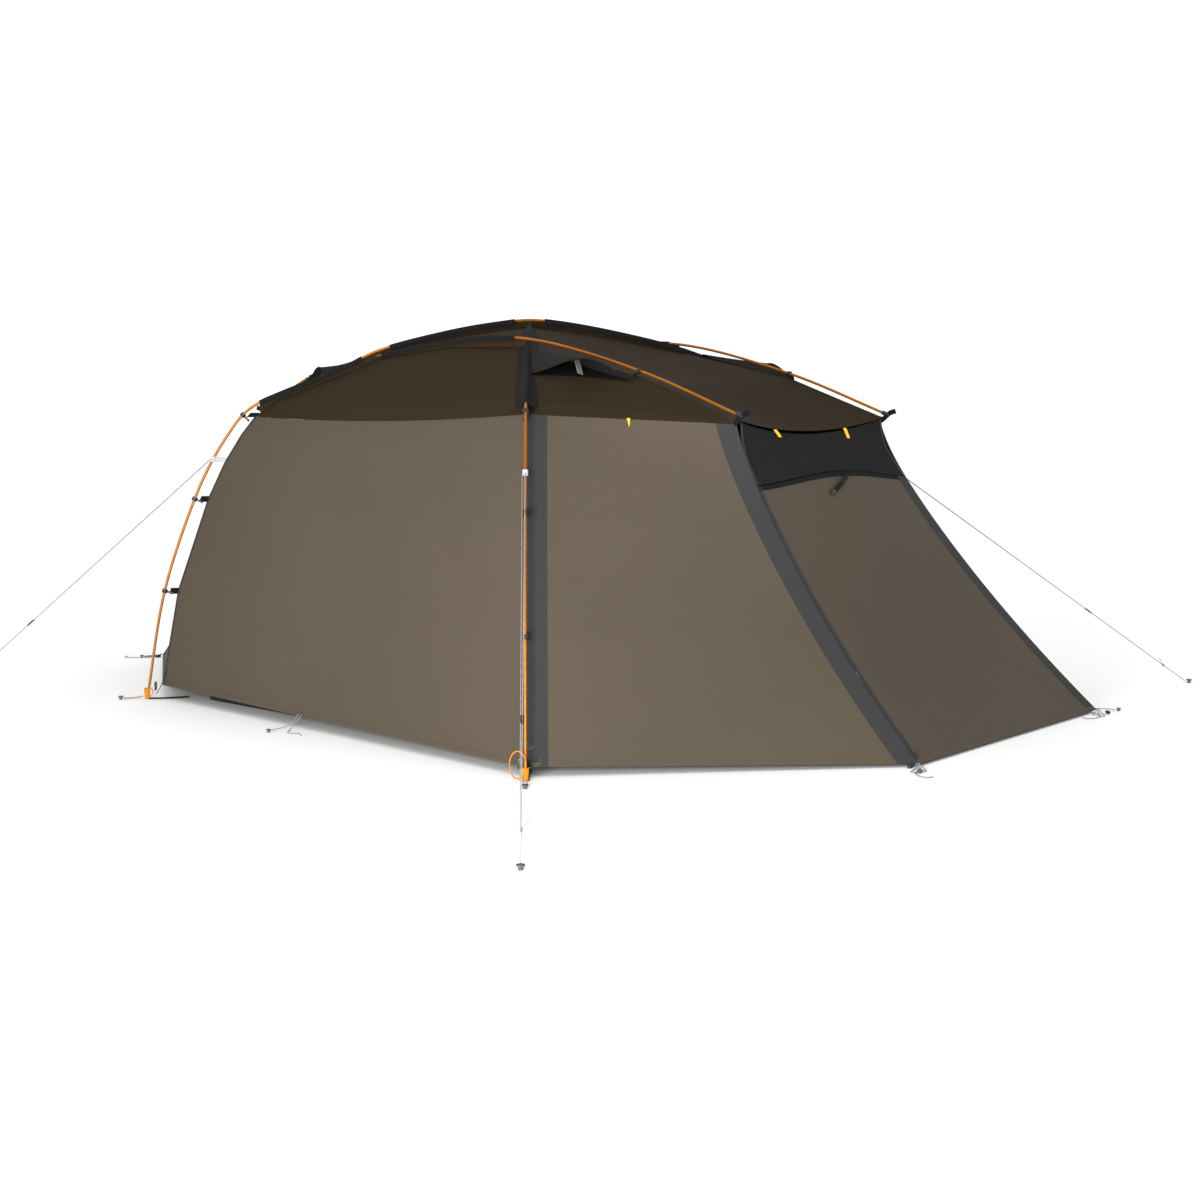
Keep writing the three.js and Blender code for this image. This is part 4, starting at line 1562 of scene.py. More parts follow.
@dataclass
class Flysheet:
    """The outer cloth: walls, roof, shoulders, canopies and porch walls, with bands, hems and seams."""

    ripple: float = 1.2 * MM
    crease: float = 5.0 * MM
    crease_reach: float = 0.15
    band: float = 0.064
    hem: float = 0.014
    hem_thick: float = 1.6 * MM
    seam: float = 0.010
    piping: float = 0.007
    lift: float = 1.4 * MM
    canopy_dip: float = 0.006
    canopy_curve: float = 0.018

    def taut(self, surface: Surface, feet: Iterable[Vector] = (), pull: float = 0.0) -> Surface:
        """Gives a surface the faint ripples and corner creases of stretched cloth.

        Args:
            surface: the plain surface.
            feet: the corners that pull creases.
            pull: how far the middle is drawn inwards.

        Returns:
            The surface with its ripples.
        """
        corners = list(feet)

        def point(u: float, v: float) -> Vector:
            """Moves one point along its normal."""
            p = surface(u, v)
            inner = math.sin(math.pi * u) * math.sin(math.pi * v)
            shift = self.ripple * noise.noise(p * 5.0) * min(1.0, inner * 3) - pull * inner
            for corner in corners:
                away = p - corner
                fade = max(0.0, 1 - away.length / self.crease_reach) ** 1.5 * min(1.0, away.length / 0.03)
                angle = math.atan2(away.z, math.hypot(away.x, away.y))
                shift += self.crease * fade * math.sin(angle * 26) if fade > 0 else 0.0
            return p + outward_at(surface, u, v) * shift

        return point

    def strip(self, surface: Surface, low: Edge, high: Edge) -> Surface:
        """Lifts a strip of a surface off it.

        Args:
            surface: the surface.
            low: for a share along the strip, the (u, v) of one edge.
            high: the (u, v) of the other edge.

        Returns:
            The strip.
        """

        def point(s: float, t: float) -> Vector:
            """Finds one point of the strip."""
            (u0, v0), (u1, v1) = low(s), high(s)
            u, v = mix(u0, u1, t), mix(v0, v1, t)
            return surface(u, v) + outward_at(surface, u, v) * self.lift

        return point

    def side_band(self, surface: Surface, at_start: bool, width: float, low: float = 0.0) -> Surface:
        """Makes a band of even width along one side edge of a panel.

        Args:
            surface: the panel.
            at_start: True at u = 0, False at u = 1.
            width: the band's width.
            low: the v where the band begins.

        Returns:
            The band.
        """
        edge = 0.0 if at_start else 1.0

        def inner(s: float) -> tuple[float, float]:
            """Finds the band's inner edge."""
            v = mix(low, 1, s)
            share = width / (surface(1, v) - surface(0, v)).length
            return (share if at_start else 1 - share), v

        return self.strip(surface, lambda s: (edge, mix(low, 1, s)), inner)

    def end_band(self, surface: Surface, at_bottom: bool, width: float) -> Surface:
        """Makes a band of even width along the bottom or the top of a panel."""
        edge = 0.0 if at_bottom else 1.0

        def inner(s: float) -> tuple[float, float]:
            """Finds the band's inner edge."""
            share = width / max(0.05, (surface(s, 1) - surface(s, 0)).length)
            return s, (share if at_bottom else 1 - share)

        return self.strip(surface, lambda s: (s, edge), inner)

    def walls(self, side: Side) -> None:
        """Sews a side wall with its hem and eave seam, and the roof above it.

        Args:
            side: which side.
        """
        plain = LINES.wall(side)
        feet = [LINES.leg_edge(end, side)(0) for end in End]
        surface = self.taut(plain, feet, 0.004)
        wall = sew(f"side_wall_{side.word}", surface, (150, 84), WALL)
        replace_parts(wall, f"fly_wall_{side.word}")
        hem = sew(f"side_hem_{side.word}", self.end_band(surface, True, self.hem), (90, 1), WALL,
                  thickness=self.hem_thick)
        piping = [sew(f"wall_piping_{end.word}_{side.word}",
                      self.side_band(surface, end is End.REAR, self.piping), (40, 1), BAND,
                      thickness=self.hem_thick) for end in End]
        declare_sheet(wall, surface)
        top = self.taut(LINES.roof_side(side))
        roof = sew(f"roof_side_{side.word}", top, (72, 40), ROOF)
        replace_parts(roof, f"fly_roof_{side.word}")
        seam = sew(f"eave_seam_{side.word}", self.end_band(top, True, self.seam), (72, 1), ROOF,
                   thickness=1.4 * MM)
        declare_sheet(roof, top)

    def shoulders(self, end: End, side: Side) -> None:
        """Sews a shoulder of the roof and the porch wall under it.

        Args:
            end: which end.
            side: which side.
        """
        tag = f"{end.word}_{side.word}"
        top = self.taut(LINES.shoulder(end, side))
        shoulder = sew(f"roof_shoulder_{tag}", top, (64, 34), ROOF)
        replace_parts(shoulder, f"fly_shoulder_{tag}")
        seam = sew(f"shoulder_seam_{tag}", self.end_band(top, True, self.seam), (56, 1), ROOF,
                   thickness=1.4 * MM)
        declare_sheet(shoulder, top)
        plain = LINES.porch_wall(end, side)
        surface = self.taut(plain, [LINES.leg_edge(end, side)(0)])
        porch = sew(f"porch_side_{tag}", surface, (84, 72), WALL)
        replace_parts(porch, f"porch_wall_{tag}")
        beside_leg = sew(f"leg_band_{tag}", self.side_band(surface, True, self.band), (60, 4), BAND)
        corner = sew(f"corner_band_{tag}", self.side_band(surface, False, self.band), (60, 4), BAND)
        hem = sew(f"porch_hem_{tag}", self.end_band(surface, True, self.hem), (60, 1), WALL,
                  thickness=self.hem_thick)
        declare_sheet(porch, surface)

    def top(self) -> None:
        """Sews the top of the roof."""
        half = LINES.rail_y - LINES.seam_gap

        def surface(u: float, v: float) -> Vector:
            """Finds one point of the roof's top."""
            x = mix(REAR_SIZES.cross_x + LINES.seam_gap, FRONT_SIZES.cross_x - LINES.seam_gap, u)
            return LINES.top_point(x, mix(-half, half, v))

        roof = sew("roof_top", surface, (56, 56), ROOF)
        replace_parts(roof, "fly_roof_top")
        declare_sheet(roof, surface)

    def canopy(self, end: End) -> None:
        """Sews the canopy over a door, with its bound lip and hanging loops.

        Args:
            end: which end.
        """
        half = LINES.rail_y - LINES.seam_gap
        start = LINES.sizes(end).cross_x + end.sign * LINES.seam_gap

        def surface(u: float, v: float) -> Vector:
            """Finds one point of the canopy, which sags more towards its lip."""
            y = mix(-half, half, v)
            arch = 1 - (y / LINES.rail_y) ** 2
            reach = LINES.fly_tip_x(end) - end.sign * self.canopy_curve * arch * u
            p, first = LINES.rail_fly(Side.NEAR, mix(start, reach, u)), LINES.rail_fly(Side.NEAR, start)
            seam = LINES.top_point(start, y).z - first.z + self.canopy_dip * arch
            sag = (self.canopy_dip + LINES.canopy_sag * u) * arch
            return Vector((p.x, y, p.z - sag + seam * (1 - u) ** 5))

        canopy = sew(f"roof_canopy_{end.word}", surface, (56, 48), ROOF)
        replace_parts(canopy, f"canopy_{end.word}")
        lip = sew(f"canopy_lip_{end.word}", self.side_band(surface, False, 0.012), (48, 1), ROOF,
                  thickness=2.2 * MM)
        declare_sheet(canopy, surface)
        for i, share in enumerate((0.26, 0.74)):
            at = surface(1.0, share)
            drop = Vector((end.sign * 0.006, (0.016 if i else 0.022), -0.036 if i else -0.026))
            line = [at + Vector((0, 0, -2 * MM)), at + drop * 0.5, at + drop]
            strap(f"canopy_loop_{end.word}_{i + 1}", line, Vector((end.sign * 0.25, 1, 0)), 0.012, YELLOW,
                  thickness=2.4 * MM)

    def roof_loop(self, end: End, side: Side) -> None:
        """Hangs a loop from the roof's low edge over a porch wall.

        Args:
            end: which end.
            side: which side.
        """
        at = LINES.shoulder(end, side)(0.49, 0) + Vector((0, side.sign * 5 * MM, 0))
        drop = Vector((0, side.sign * 0.004, -0.030))
        strap(f"roof_loop_{end.word}_{side.word}", [at + Vector((0, 0, 2 * MM)), at + drop * 0.5, at + drop],
              Vector((1, 0, 0)), 0.013, YELLOW, thickness=2.4 * MM)

    def build(self) -> None:
        """Sews the whole flysheet."""
        for side in Side:
            self.walls(side)
            LOG.info("walls %s", side.word)
        for end, side in CORNERS:
            self.shoulders(end, side)
            self.roof_loop(end, side)
        self.top()
        for end in End:
            self.canopy(end)


# ---- doors ----


@dataclass
class Doors:
    """The two porch doors with their netting vents, zips, bands and props."""

    fly: Flysheet
    top_rise: float = 0.032
    binding: float = 0.016
    zip_width: float = 0.016
    hem: float = 0.016
    band: float = 0.050
    net_edge: float = 0.010

    def arched(self, surface: Surface, at_top: bool) -> Surface:
        """Raises one long edge of a strip in its middle, where a stiffener props it.

        Args:
            surface: the strip.
            at_top: True for the top edge, False for the bottom edge.

        Returns:
            The arched strip.
        """

        def point(u: float, v: float) -> Vector:
            """Moves one point up."""
            weight = (v if at_top else 1 - v) ** 6
            hump = math.sin(math.pi * min(1.0, u * 0.95)) ** 1.6
            return surface(u, v) + Vector((0, 0, self.top_rise * hump * weight))

        return point

    def build(self) -> None:
        """Makes both ends' doors."""
        for end in End:
            self.vent(end)
            self.door(end)
        self.slider()

    def vent(self, end: End) -> None:
        """Stretches the netting strip under the canopy.

        Args:
            end: which end.
        """
        plain = self.arched(LINES.door_strip(end, 0.02, LINES.vent_share), False)
        tip_x, tip_z = LINES.fly_tip_x(end), LINES.rail_fly(Side.NEAR, LINES.fly_tip_x(end)).z

        def surface(u: float, v: float) -> Vector:
            """Draws the top of the netting up to the canopy's lip."""
            p, top = plain(u, v), plain(u, 1)
            arch = 1 - (top.y / LINES.rail_y) ** 2
            lip = Vector((tip_x - end.sign * (0.020 * arch + 0.004), top.y, tip_z - 0.046 * arch - 3 * MM))
            return p + (lip - top) * v ** mix(7.0, 1.5, math.sin(math.pi * u) ** 0.5)

        net = sew(f"door_net_{end.word}", surface, (60, 12), NET)
        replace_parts(net, f"door_vent_{end.word}")
        edges = [sew(f"net_band_{end.word}_{side.word}",
                     self.fly.side_band(surface, side is Side.NEAR, self.net_edge), (12, 1), BAND)
                 for side in Side]
        declare_sheet(net, surface)

    def door(self, end: End) -> None:
        """Sews a door with its binding, zip and bands.

        Args:
            end: which end.
        """
        body = f"door_{end.word}"
        surface = self.arched(self.fly.taut(LINES.door_strip(end, LINES.vent_share, 1)), True)
        door = sew(f"porch_door_{end.word}", surface, (84, 76), WALL, body)
        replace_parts(door, f"door_{end.word}")
        fly = self.fly
        trims = (("band", fly.side_band(surface, False, self.band), 3, BAND, 0.8 * MM),
                 ("zip", fly.side_band(surface, True, self.zip_width), 2, BAND, 1.8 * MM),
                 ("binding", fly.end_band(surface, False, self.binding), 2, SLEEVE, 3.0 * MM),
                 ("hem", fly.end_band(surface, True, self.hem), 1, WALL, 1.8 * MM))
        pieces = [sew(f"door_{word}_{end.word}", trim, (70, rows), finish, body, thickness=thick)
                  for word, trim, rows, finish, thick in trims]
        declare_sheet(door, surface)
        self.prop(end, surface, body)

    def prop(self, end: End, surface: Surface, body: str) -> None:
        """Sets the short prop that holds the top edge of the door out.

        Args:
            end: which end.
            surface: the door's surface.
            body: the door's body.
        """
        out = outward_at(surface, 0.5, 0.95)
        head = surface(0.55, 0.985) + out * 0.010
        foot = surface(0.42, 0.935) + out * 0.006
        strap(f"door_prop_{end.word}", [head, head.lerp(foot, 0.5) + out * 0.006, foot],
              (foot - head).cross(out), 0.016, BLACK_WEB, body, 3.0 * MM)
        pad = Bench.block((0.018, 0.026, 0.004), 1 * MM)
        Bench.recess(pad, lambda middle, normal: normal.z > 0.95, 3 * MM, rise=1.2 * MM)
        place = stand(foot, out.cross(Vector((0, 1, 0))), out)
        Bench.put(pad, f"door_prop_pad_{end.word}", place, PLASTIC, body)
        Bench.scrap(pad)

    def slider(self) -> None:
        """Puts the slider and its pull on the front door's zip."""
        low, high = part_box("zip_slider")
        edge = LINES.porch_edge(End.FRONT, Side.NEAR)
        along = (edge(0.7) - edge(0.965)).normalized()
        out = Vector((along.z, 0, -along.x))
        body = Bench.block((0.022, 0.009, 0.0045), 1.2 * MM)
        Bench.recess(body, lambda middle, normal: normal.z > 0.95, 1.5 * MM, rise=1.4 * MM)
        pull = Bench.ring(5 * MM, 1.4 * MM, 1.8 * MM, 16)
        pull.data.transform(Matrix.Translation((-0.013, 0, 2.4 * MM)) @ Matrix.Diagonal((1.6, 0.8, 1, 1)))
        joined = Bench.join("slider_template", [body, pull])
        place = stand((low + high) / 2, along, out)
        placed = Bench.put(joined, "door_zip_slider", place, PLASTIC, "zip_slider")
        Bench.scrap(joined)
        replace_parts(placed, "zip_slider")


# ---- roof vents ----


@dataclass
class RoofVents:
    """A hood over a netting opening in each shoulder, with the strut that holds its lip up."""

    start: float = 0.18
    corner: tuple[float, float] = (0.01, 0.98)
    low_end: tuple[float, float] = (0.02, 0.56)
    high_end: tuple[float, float] = (0.52, 0.80)
    clear: float = 0.005
    rise: float = 0.056
    cad_edge: float = 0.06
    cad_along_rail: float = 0.36
    cad_along_ridge: float = 0.5
    cad_rise: float = 0.052
    strut_at: float = 0.62
    strut_foot: tuple[float, float] = (0.265, 0.69)
    strut_clear: float = 0.012
    strut_wide: float = 0.022
    net_to: float = 0.4

    def place(self, u: float, b: float) -> tuple[float, float]:
        """Finds where on the shoulder a hood point stands over."""
        ends = [mix(low, high, b) for low, high in zip(self.low_end, self.high_end)]
        return mix(self.corner[0], ends[0], u), mix(self.corner[1], ends[1], u)

    def hood(self, shoulder: Surface) -> Surface:
        """Makes the hood over a shoulder, from its hidden point (a = 0) to its lip (a = 1)."""

        def point(a: float, b: float) -> Vector:
            """Finds one point of the hood."""
            u = mix(self.start, 1, a)
            up = self.clear + self.rise * u**1.1 * math.sin(math.pi * b**1.1) ** 1.3
            return shoulder(*self.place(u, b)) + Vector((0, 0, up))

        return point

    def build(self) -> None:
        """Makes the four vents."""
        for end, side in CORNERS:
            self.vent(end, side)

    def vent(self, end: End, side: Side) -> None:
        """Makes one vent.

        Args:
            end: which end.
            side: which side.
        """
        tag = f"{end.word}_{side.word}"
        shoulder = LINES.shoulder(end, side)
        hood = self.hood(shoulder)
        made = sew(f"hood_{tag}", hood, (28, 30), HOOD)
        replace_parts(made, f"vent_hood_{tag}")

        def net(s: float, t: float) -> Vector:
            """Finds one point of the netting, which lies over the opening from the lip (t = 0) inwards."""
            return shoulder(*self.place(mix(0.99, self.net_to, t), s)) + Vector((0, 0, 3 * MM))

        # the hood's netting is drawn near black: painted shade of the hollow under the hood
        mesh = sew(f"hood_net_{tag}", net, (30, 8), SHADED_HOOD_NET, thickness=0.5 * MM)
        lip = tube(f"hood_lip_{tag}", [hood(1.0, i / 24) for i in range(25)], 2.2 * MM, rounds=2)
        Bench.dress(lip, SLEEVE)
        declare_sheet(made, hood)
        self.strut(tag, end, shoulder)

    def strut(self, tag: str, end: End, shoulder: Surface) -> None:
        """Makes the stiff strut with its sewn foot.

        Args:
            tag: the corner's name.
            end: which end.
            shoulder: the roof under it.
        """
        b = self.strut_at
        along_rail = mix(self.cad_edge, self.cad_along_rail, b)
        head = shoulder(along_rail, 1 - mix(self.cad_along_ridge, self.cad_edge, b))
        up = self.clear + self.cad_rise * 4 * b * (1 - b) - self.strut_clear - 5 * MM
        head += Vector((end.sign * 3 * MM, 0, up))
        foot = shoulder(*self.strut_foot) + Vector((0, 0, self.strut_clear))
        run = (head - foot).normalized()
        blade = Bench.block(((head - foot).length + 0.008, self.strut_wide, 0.0030), 1.0 * MM)
        Bench.recess(blade, lambda middle, normal: abs(normal.z) > 0.95, 2.4 * MM, push=-0.5 * MM)
        matrix = stand((head + foot) / 2, run, run.cross(Vector((0, 1, 0))))
        placed = Bench.put(blade, f"hood_strut_{tag}", matrix, STRUT, f"vent_strut_{tag}")
        Bench.scrap(blade)
        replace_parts(placed, f"vent_strut_{tag}")


# ---- leg fittings ----


@dataclass
class LegFittings:
    """The clips that hang the flysheet from the poles and the webbing that holds each foot."""

    poles: Poles
    clip_heights: dict = field(default_factory=lambda: {
        End.FRONT: (0.410, 0.765, 1.060), End.REAR: (0.399, 0.735, 1.040)})
    arm: float = 0.020

    def clip_template(self) -> Object:
        """Makes a hook that snaps round a pole standing on Z, with an arm along X."""
        hook = Bench.ring(9.6 * MM, 2.4 * MM, 0.014, 20)
        arm = Bench.block((self.arm, 0.010, 0.007), 1.2 * MM, at=(0.0085 + self.arm / 2, 0, 0))
        Bench.recess(arm, lambda middle, normal: abs(normal.y) > 0.95, 1.4 * MM, push=-1.0 * MM)
        bar = Bench.block((0.005, 0.020, 0.009), 1.2 * MM, at=(0.0085 + self.arm, 0, 0))
        return Bench.join("clip_template", [hook, arm, bar])

    def build(self) -> None:
        """Makes every clip and foot."""
        clip = self.clip_template()
        for end, side in CORNERS:
            self.leg(clip, end, side)
            self.foot(end, side)
            self.rail_clip(clip, end, side)
            self.tip(end, side)
        Bench.scrap(clip)

    def leg(self, clip: Object, end: End, side: Side) -> None:
        """Hangs the clips of one leg.

        Args:
            clip: the clip's template.
            end: which end.
            side: which side.
        """
        inward = LINES.inward(end, side)
        for i, z in enumerate(self.clip_heights[end]):
            tag = f"{end.word}_{side.word}_{i + 1}"
            reach = LINES.reach_at(z)
            at = LINES.on_diagonal(end, side, reach, z)
            up = (LINES.on_diagonal(end, side, LINES.reach_at(z + 0.02), z + 0.02)
                  - LINES.on_diagonal(end, side, LINES.reach_at(z - 0.02), z - 0.02)).normalized()
            forward = inward - up * inward.dot(up)
            made = Bench.put(clip, f"fly_clip_{tag}", stand(at, forward, up), PLASTIC)
            if i < 2:
                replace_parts(made, f"leg_clip_{tag}")
            start, stop = at + inward * 0.020, at + inward * 0.054
            strap(f"clip_tab_{tag}", [start, stop], up, 0.023, BLACK_WEB, thickness=2.6 * MM)

    def rail_clip(self, clip: Object, end: End, side: Side) -> None:
        """Hangs the clip in the middle of a roof pole's bare end.

        Args:
            clip: the clip's template.
            end: which end.
            side: which side.
        """
        tag = f"{end.word}_{side.word}"
        route = self.poles.rails[side]
        x, z = LINES.sizes(end).clip
        metres = route.nearest(Vector((x, side.sign * LINES.rail_y, z)))
        at, along = route.at(metres), route.direction(metres)
        out = Vector((0, side.sign, -0.55)).normalized()
        small = stand(at, out, along) @ Matrix.Diagonal((0.8, 0.9, 0.9, 1))
        Bench.put(clip, f"roof_clip_{tag}", small, PLASTIC)
        stop = at + Vector((end.sign * -0.004, side.sign * 0.026, -0.044))
        strap(f"roof_clip_tab_{tag}", [at + out * 0.020, stop], along, 0.018, BLACK_WEB, thickness=2.0 * MM)

    def tip(self, end: End, side: Side) -> None:
        """Ties a canopy corner to its pole tip with a black tab.

        Args:
            end: which end.
            side: which side.
        """
        route = self.poles.rails[side]
        tip = route.points[-1 if end is End.FRONT else 0]
        top = Vector(tip)
        corner = LINES.rail_fly(side, LINES.fly_tip_x(end))
        pull = Vector((end.sign * 0.030, side.sign * 0.002, 0.012))
        line = [corner + Vector((-end.sign * 0.012, 0, -0.012)), corner + Vector((0, 0, -0.004)),
                top + Vector((end.sign * 0.010, 0, 0.006)), top + pull]
        strap(f"tip_tab_{end.word}_{side.word}", line, Vector((-end.sign * 0.4, 0, 1)), 0.017, BLACK_WEB,
              thickness=2.6 * MM)

    def foot(self, end: End, side: Side) -> None:
        """Makes the foot: cup, straps, buckle, orange pull ring and orange wrap.

        Args:
            end: which end.
            side: which side.
        """
        tag = f"{end.word}_{side.word}"
        inward = LINES.inward(end, side)
        level = Vector((-inward.y, inward.x, 0))
        base = LINES.on_diagonal(end, side, 0, 0)
        up = Vector((0, 0, 1))
        cup = Bench.drum(9.0 * MM, 0.034, (0, 0, 0.0175), 20)
        Bench.recess(cup, lambda middle, normal: normal.z > 0.9, 2.0 * MM, rise=-0.020)
        Bench.put(cup, f"foot_cup_{tag}", Matrix.Translation(base), ORANGE)
        Bench.scrap(cup)
        line = [base + inward * 0.006 + up * 3 * MM, base + inward * 0.05 + up * 2.5 * MM,
                base + inward * 0.10 + up * 4 * MM, base + inward * 0.150 + up * 6 * MM]
        made = strap(f"foot_tape_{tag}", line, level, 0.024, BLACK_WEB, thickness=2.4 * MM)
        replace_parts(made, f"foot_strap_{tag}")
        self.buckle(tag, base + inward * 0.030 + up * 0.046 - level * side.sign * 0.010, up, -inward)
        hang = [base + inward * 0.034 + up * 0.02, base + inward * 0.042 + up * 0.045]
        stop = LINES.leg_edge(end, side)(0)
        strap(f"corner_tape_{tag}", [hang[0], hang[1].lerp(stop, 0.5), stop + up * 0.012], level, 0.018,
              BLACK_WEB, thickness=2.0 * MM)
        ring, swing, wide, high = [], inward, 0.016, 0.017
        if end is End.FRONT:
            swing, wide, high = level * -side.sign, 0.025, 0.042
        for i in range(29):
            angle = 2 * math.pi * i / 28 * 0.985
            turn = swing * math.cos(angle) * wide + up * math.sin(angle) * high
            ring.append(base + swing * (wide * 0.9) - inward * 0.008 + up * (high + 0.008) + turn)
        strap(f"pull_ring_{tag}", ring, swing.cross(up), 0.009, ORANGE, thickness=2.4 * MM)
        wrap = []
        for i in range(17):
            angle = 2 * math.pi * i / 16 * 0.97
            wrap.append(base + up * 0.030 + (inward * math.cos(angle) + level * math.sin(angle)) * 10.5 * MM)
        strap(f"foot_wrap_{tag}", wrap, up, 0.020, ORANGE, thickness=1.8 * MM)

    def buckle(self, tag: str, at: Vector, forward: Vector, up: Vector) -> None:
        """Makes a ladder buckle with two slots.

        Args:
            tag: the corner's name.
            at: its middle.
            forward: the direction of the strap.
            up: the direction of its face.
        """
        body = Bench.block((0.030, 0.026, 0.006), 1.2 * MM)
        Bench.recess(body, lambda middle, normal: abs(normal.z) > 0.95, 4 * MM, push=-1.6 * MM)
        bar = Bench.block((0.005, 0.026, 0.009), 1.2 * MM, at=(0.004, 0, 0))
        joined = Bench.join("buckle_template", [body, bar])
        Bench.put(joined, f"foot_buckle_{tag}", stand(at, forward, up), PLASTIC)
        Bench.scrap(joined)


# ---- hem pegs ----


@dataclass
class HemPegs:
    """Loops, cords and stakes along the hem."""

    radius: float = 1.6 * MM
    tail: tuple = ((0.030, 0.0), (0.100, 0.006), (0.140, -0.014), (0.150, -0.036), (0.134, -0.050))
    curl: tuple = ((0.062, 0.020), (0.074, 0.006), (0.040, 0.003))

    def build(self) -> None:
        """Pegs the hem corners, the middles of the side walls and the feet."""
        stake = stake_template()
        for end, side in CORNERS:
            self.foot_peg(stake, end, side)
            self.corner(stake, end, side)
        for side in Side:
            self.middle(stake, side)
        Bench.scrap(stake)

    def stake_at(self, stake: Object, name: str, at: Vector, scale: float = 0.9) -> Object:
        """Drives one stake.

        Args:
            stake: the stake's template.
            name: the copy's name.
            at: its place on the ground.
            scale: its size as a share of a guyline stake.

        Returns:
            The stake.
        """
        place = Matrix.Translation((at.x, at.y, 0)) @ Matrix.Scale(scale, 4)
        return Bench.put(stake, name, place, STAKE)

    def cord(self, name: str, knots: list[Vector], far_end: str, pieces: list[Object]) -> Object:
        """Lays a short free cord.

        Args:
            name: its name.
            knots: the points that it passes.
            far_end: what is on its far end; not used.
            pieces: the pieces on it; not used.

        Returns:
            The cord.
        """
        route = smooth_route(knots, 6)
        points = route.part(0, route.length, 0.008)
        made = tube(name, points, self.radius, rounds=2, keep_curve=True)
        Bench.dress(made, CORD)
        return declare_cord(made, knots[0], route.length, self.radius)

    def foot_peg(self, stake: Object, end: End, side: Side) -> None:
        """Drives the stake just outside a pole foot, with its pale loop.

        Args:
            stake: the stake's template.
            end: which end.
            side: which side.
        """
        tag = f"{end.word}_{side.word}"
        base = LINES.on_diagonal(end, side, 0, 0)
        out = -LINES.inward(end, side)
        level = Vector((-out.y, out.x, 0))
        reach = 0.095 if side is Side.NEAR else 0.08
        head = self.stake_at(stake, f"foot_stake_{tag}", base + out * reach)
        low = self.radius + 1 * MM
        for k, shift in enumerate((-1, 1)):
            start = base + out * 0.016 + level * shift * 5 * MM + Vector((0, 0, 0.010))
            stop = base + out * (reach - 0.012) + level * shift * 6 * MM + Vector((0, 0, low + 1.5 * MM))
            knots = [start, start.lerp(stop, 0.5) + Vector((0, 0, -2 * MM)), stop]
            points = smooth_route(knots, 6).part(0, (stop - start).length, 0.008)
            loop = tube(f"foot_loop_{tag}_{k + 1}", points, self.radius, rounds=2)
            Bench.dress(loop, CORD)

    def corner(self, stake: Object, end: End, side: Side) -> None:
        """Pegs one ground corner of a porch: a loop to the stake and a loose tail.

        Args:
            stake: the stake's template.
            end: which end.
            side: which side.
        """
        tag = f"{end.word}_{side.word}"
        corner = LINES.porch_edge(end, side)(1)
        ground = Vector((corner.x, corner.y, 0))
        out = Vector((end.sign * 0.55, side.sign, 0)).normalized()
        along = Vector((end.sign, 0, 0))
        low = self.radius + 0.4 * MM
        head_at = ground + out * 0.085 + along * 0.006
        head = self.stake_at(stake, f"porch_stake_{tag}", head_at, 0.75)
        start = corner + Vector((-end.sign * 0.010, 0, 0.004))
        loop = [start, start + out * 0.030 + Vector((0, 0, -2 * MM)),
                head_at - out * 0.014 + Vector((0, 0, 6 * MM))]
        self.cord(f"porch_loop_{tag}", loop, "fitting", [head])
        way = Vector((0.4, -0.92, 0)) if end is End.FRONT else Vector((-0.4, side.sign * 0.92, 0))
        across = Vector((-way.y, way.x, 0)) * -end.sign * (1 if way.y * side.sign > 0 else -1)
        rest = Vector((corner.x + end.sign * 0.008, corner.y, low + 1.2 * MM))
        start = corner + Vector((0, side.sign * 0.008, 0.004))
        tail = [start, *(rest + way * a + across * b for a, b in self.tail)]
        self.cord(f"porch_tail_{tag}", tail, "knot", [])
        for k, reach in enumerate((0.0, 0.020)):
            turn = 1 if k else -1
            curl = [corner + Vector((0, side.sign * 0.004, 0.005)),
                    rest + way * 0.030 + across * turn * 0.012]
            curl += [rest + way * (a + reach) + across * turn * b for a, b in self.curl]
            self.cord(f"porch_curl_{tag}_{k + 1}", curl, "knot", [])
        toggle = Bench.block((0.022, 0.012, 0.010), 2.5 * MM)
        Bench.recess(toggle, lambda middle, normal: abs(normal.x) > 0.95, 1.5 * MM, push=-1.5 * MM)
        middle = rest + way * 0.022 + across * 0.030 + Vector((0, 0, 4 * MM))
        place = stand(middle, way + across * 0.4, Vector((0, 0, 1)))
        Bench.put(toggle, f"porch_toggle_{tag}", place, PLASTIC)
        Bench.scrap(toggle)

    def middle(self, stake: Object, side: Side) -> None:
        """Pegs the middle of a side wall's hem.

        Args:
            stake: the stake's template.
            side: which side.
        """
        wall = LINES.wall(side)
        hem = wall(0.43, 0.0)
        out = Vector((0, side.sign, 0))
        low = self.radius + 0.4 * MM
        ground = Vector((hem.x, hem.y, low))
        head_at = Vector((hem.x - 0.015, hem.y, 0)) + out * 0.115
        head = self.stake_at(stake, f"hem_stake_{side.word}", head_at, 0.75)
        loop = [hem + Vector((0, 0, 0.004)), ground + out * 0.040 + Vector((0, 0, 0.014)),
                head_at - out * 0.014 + Vector((0, 0, 6 * MM))]
        self.cord(f"hem_loop_{side.word}", loop, "fitting", [head])
        bow = [hem + Vector((0.016, 0, 0.004)), ground + out * 0.050 + Vector((0.020, 0, 0.006)),
               ground + out * 0.085 + Vector((0.050, 0, 0)), ground + out * 0.070 + Vector((0.085, 0, 0)),
               ground + out * 0.085 + Vector((0.115, 0, 0))]
        self.cord(f"hem_tail_{side.word}", bow, "knot", [])


# ---- inner tent ----


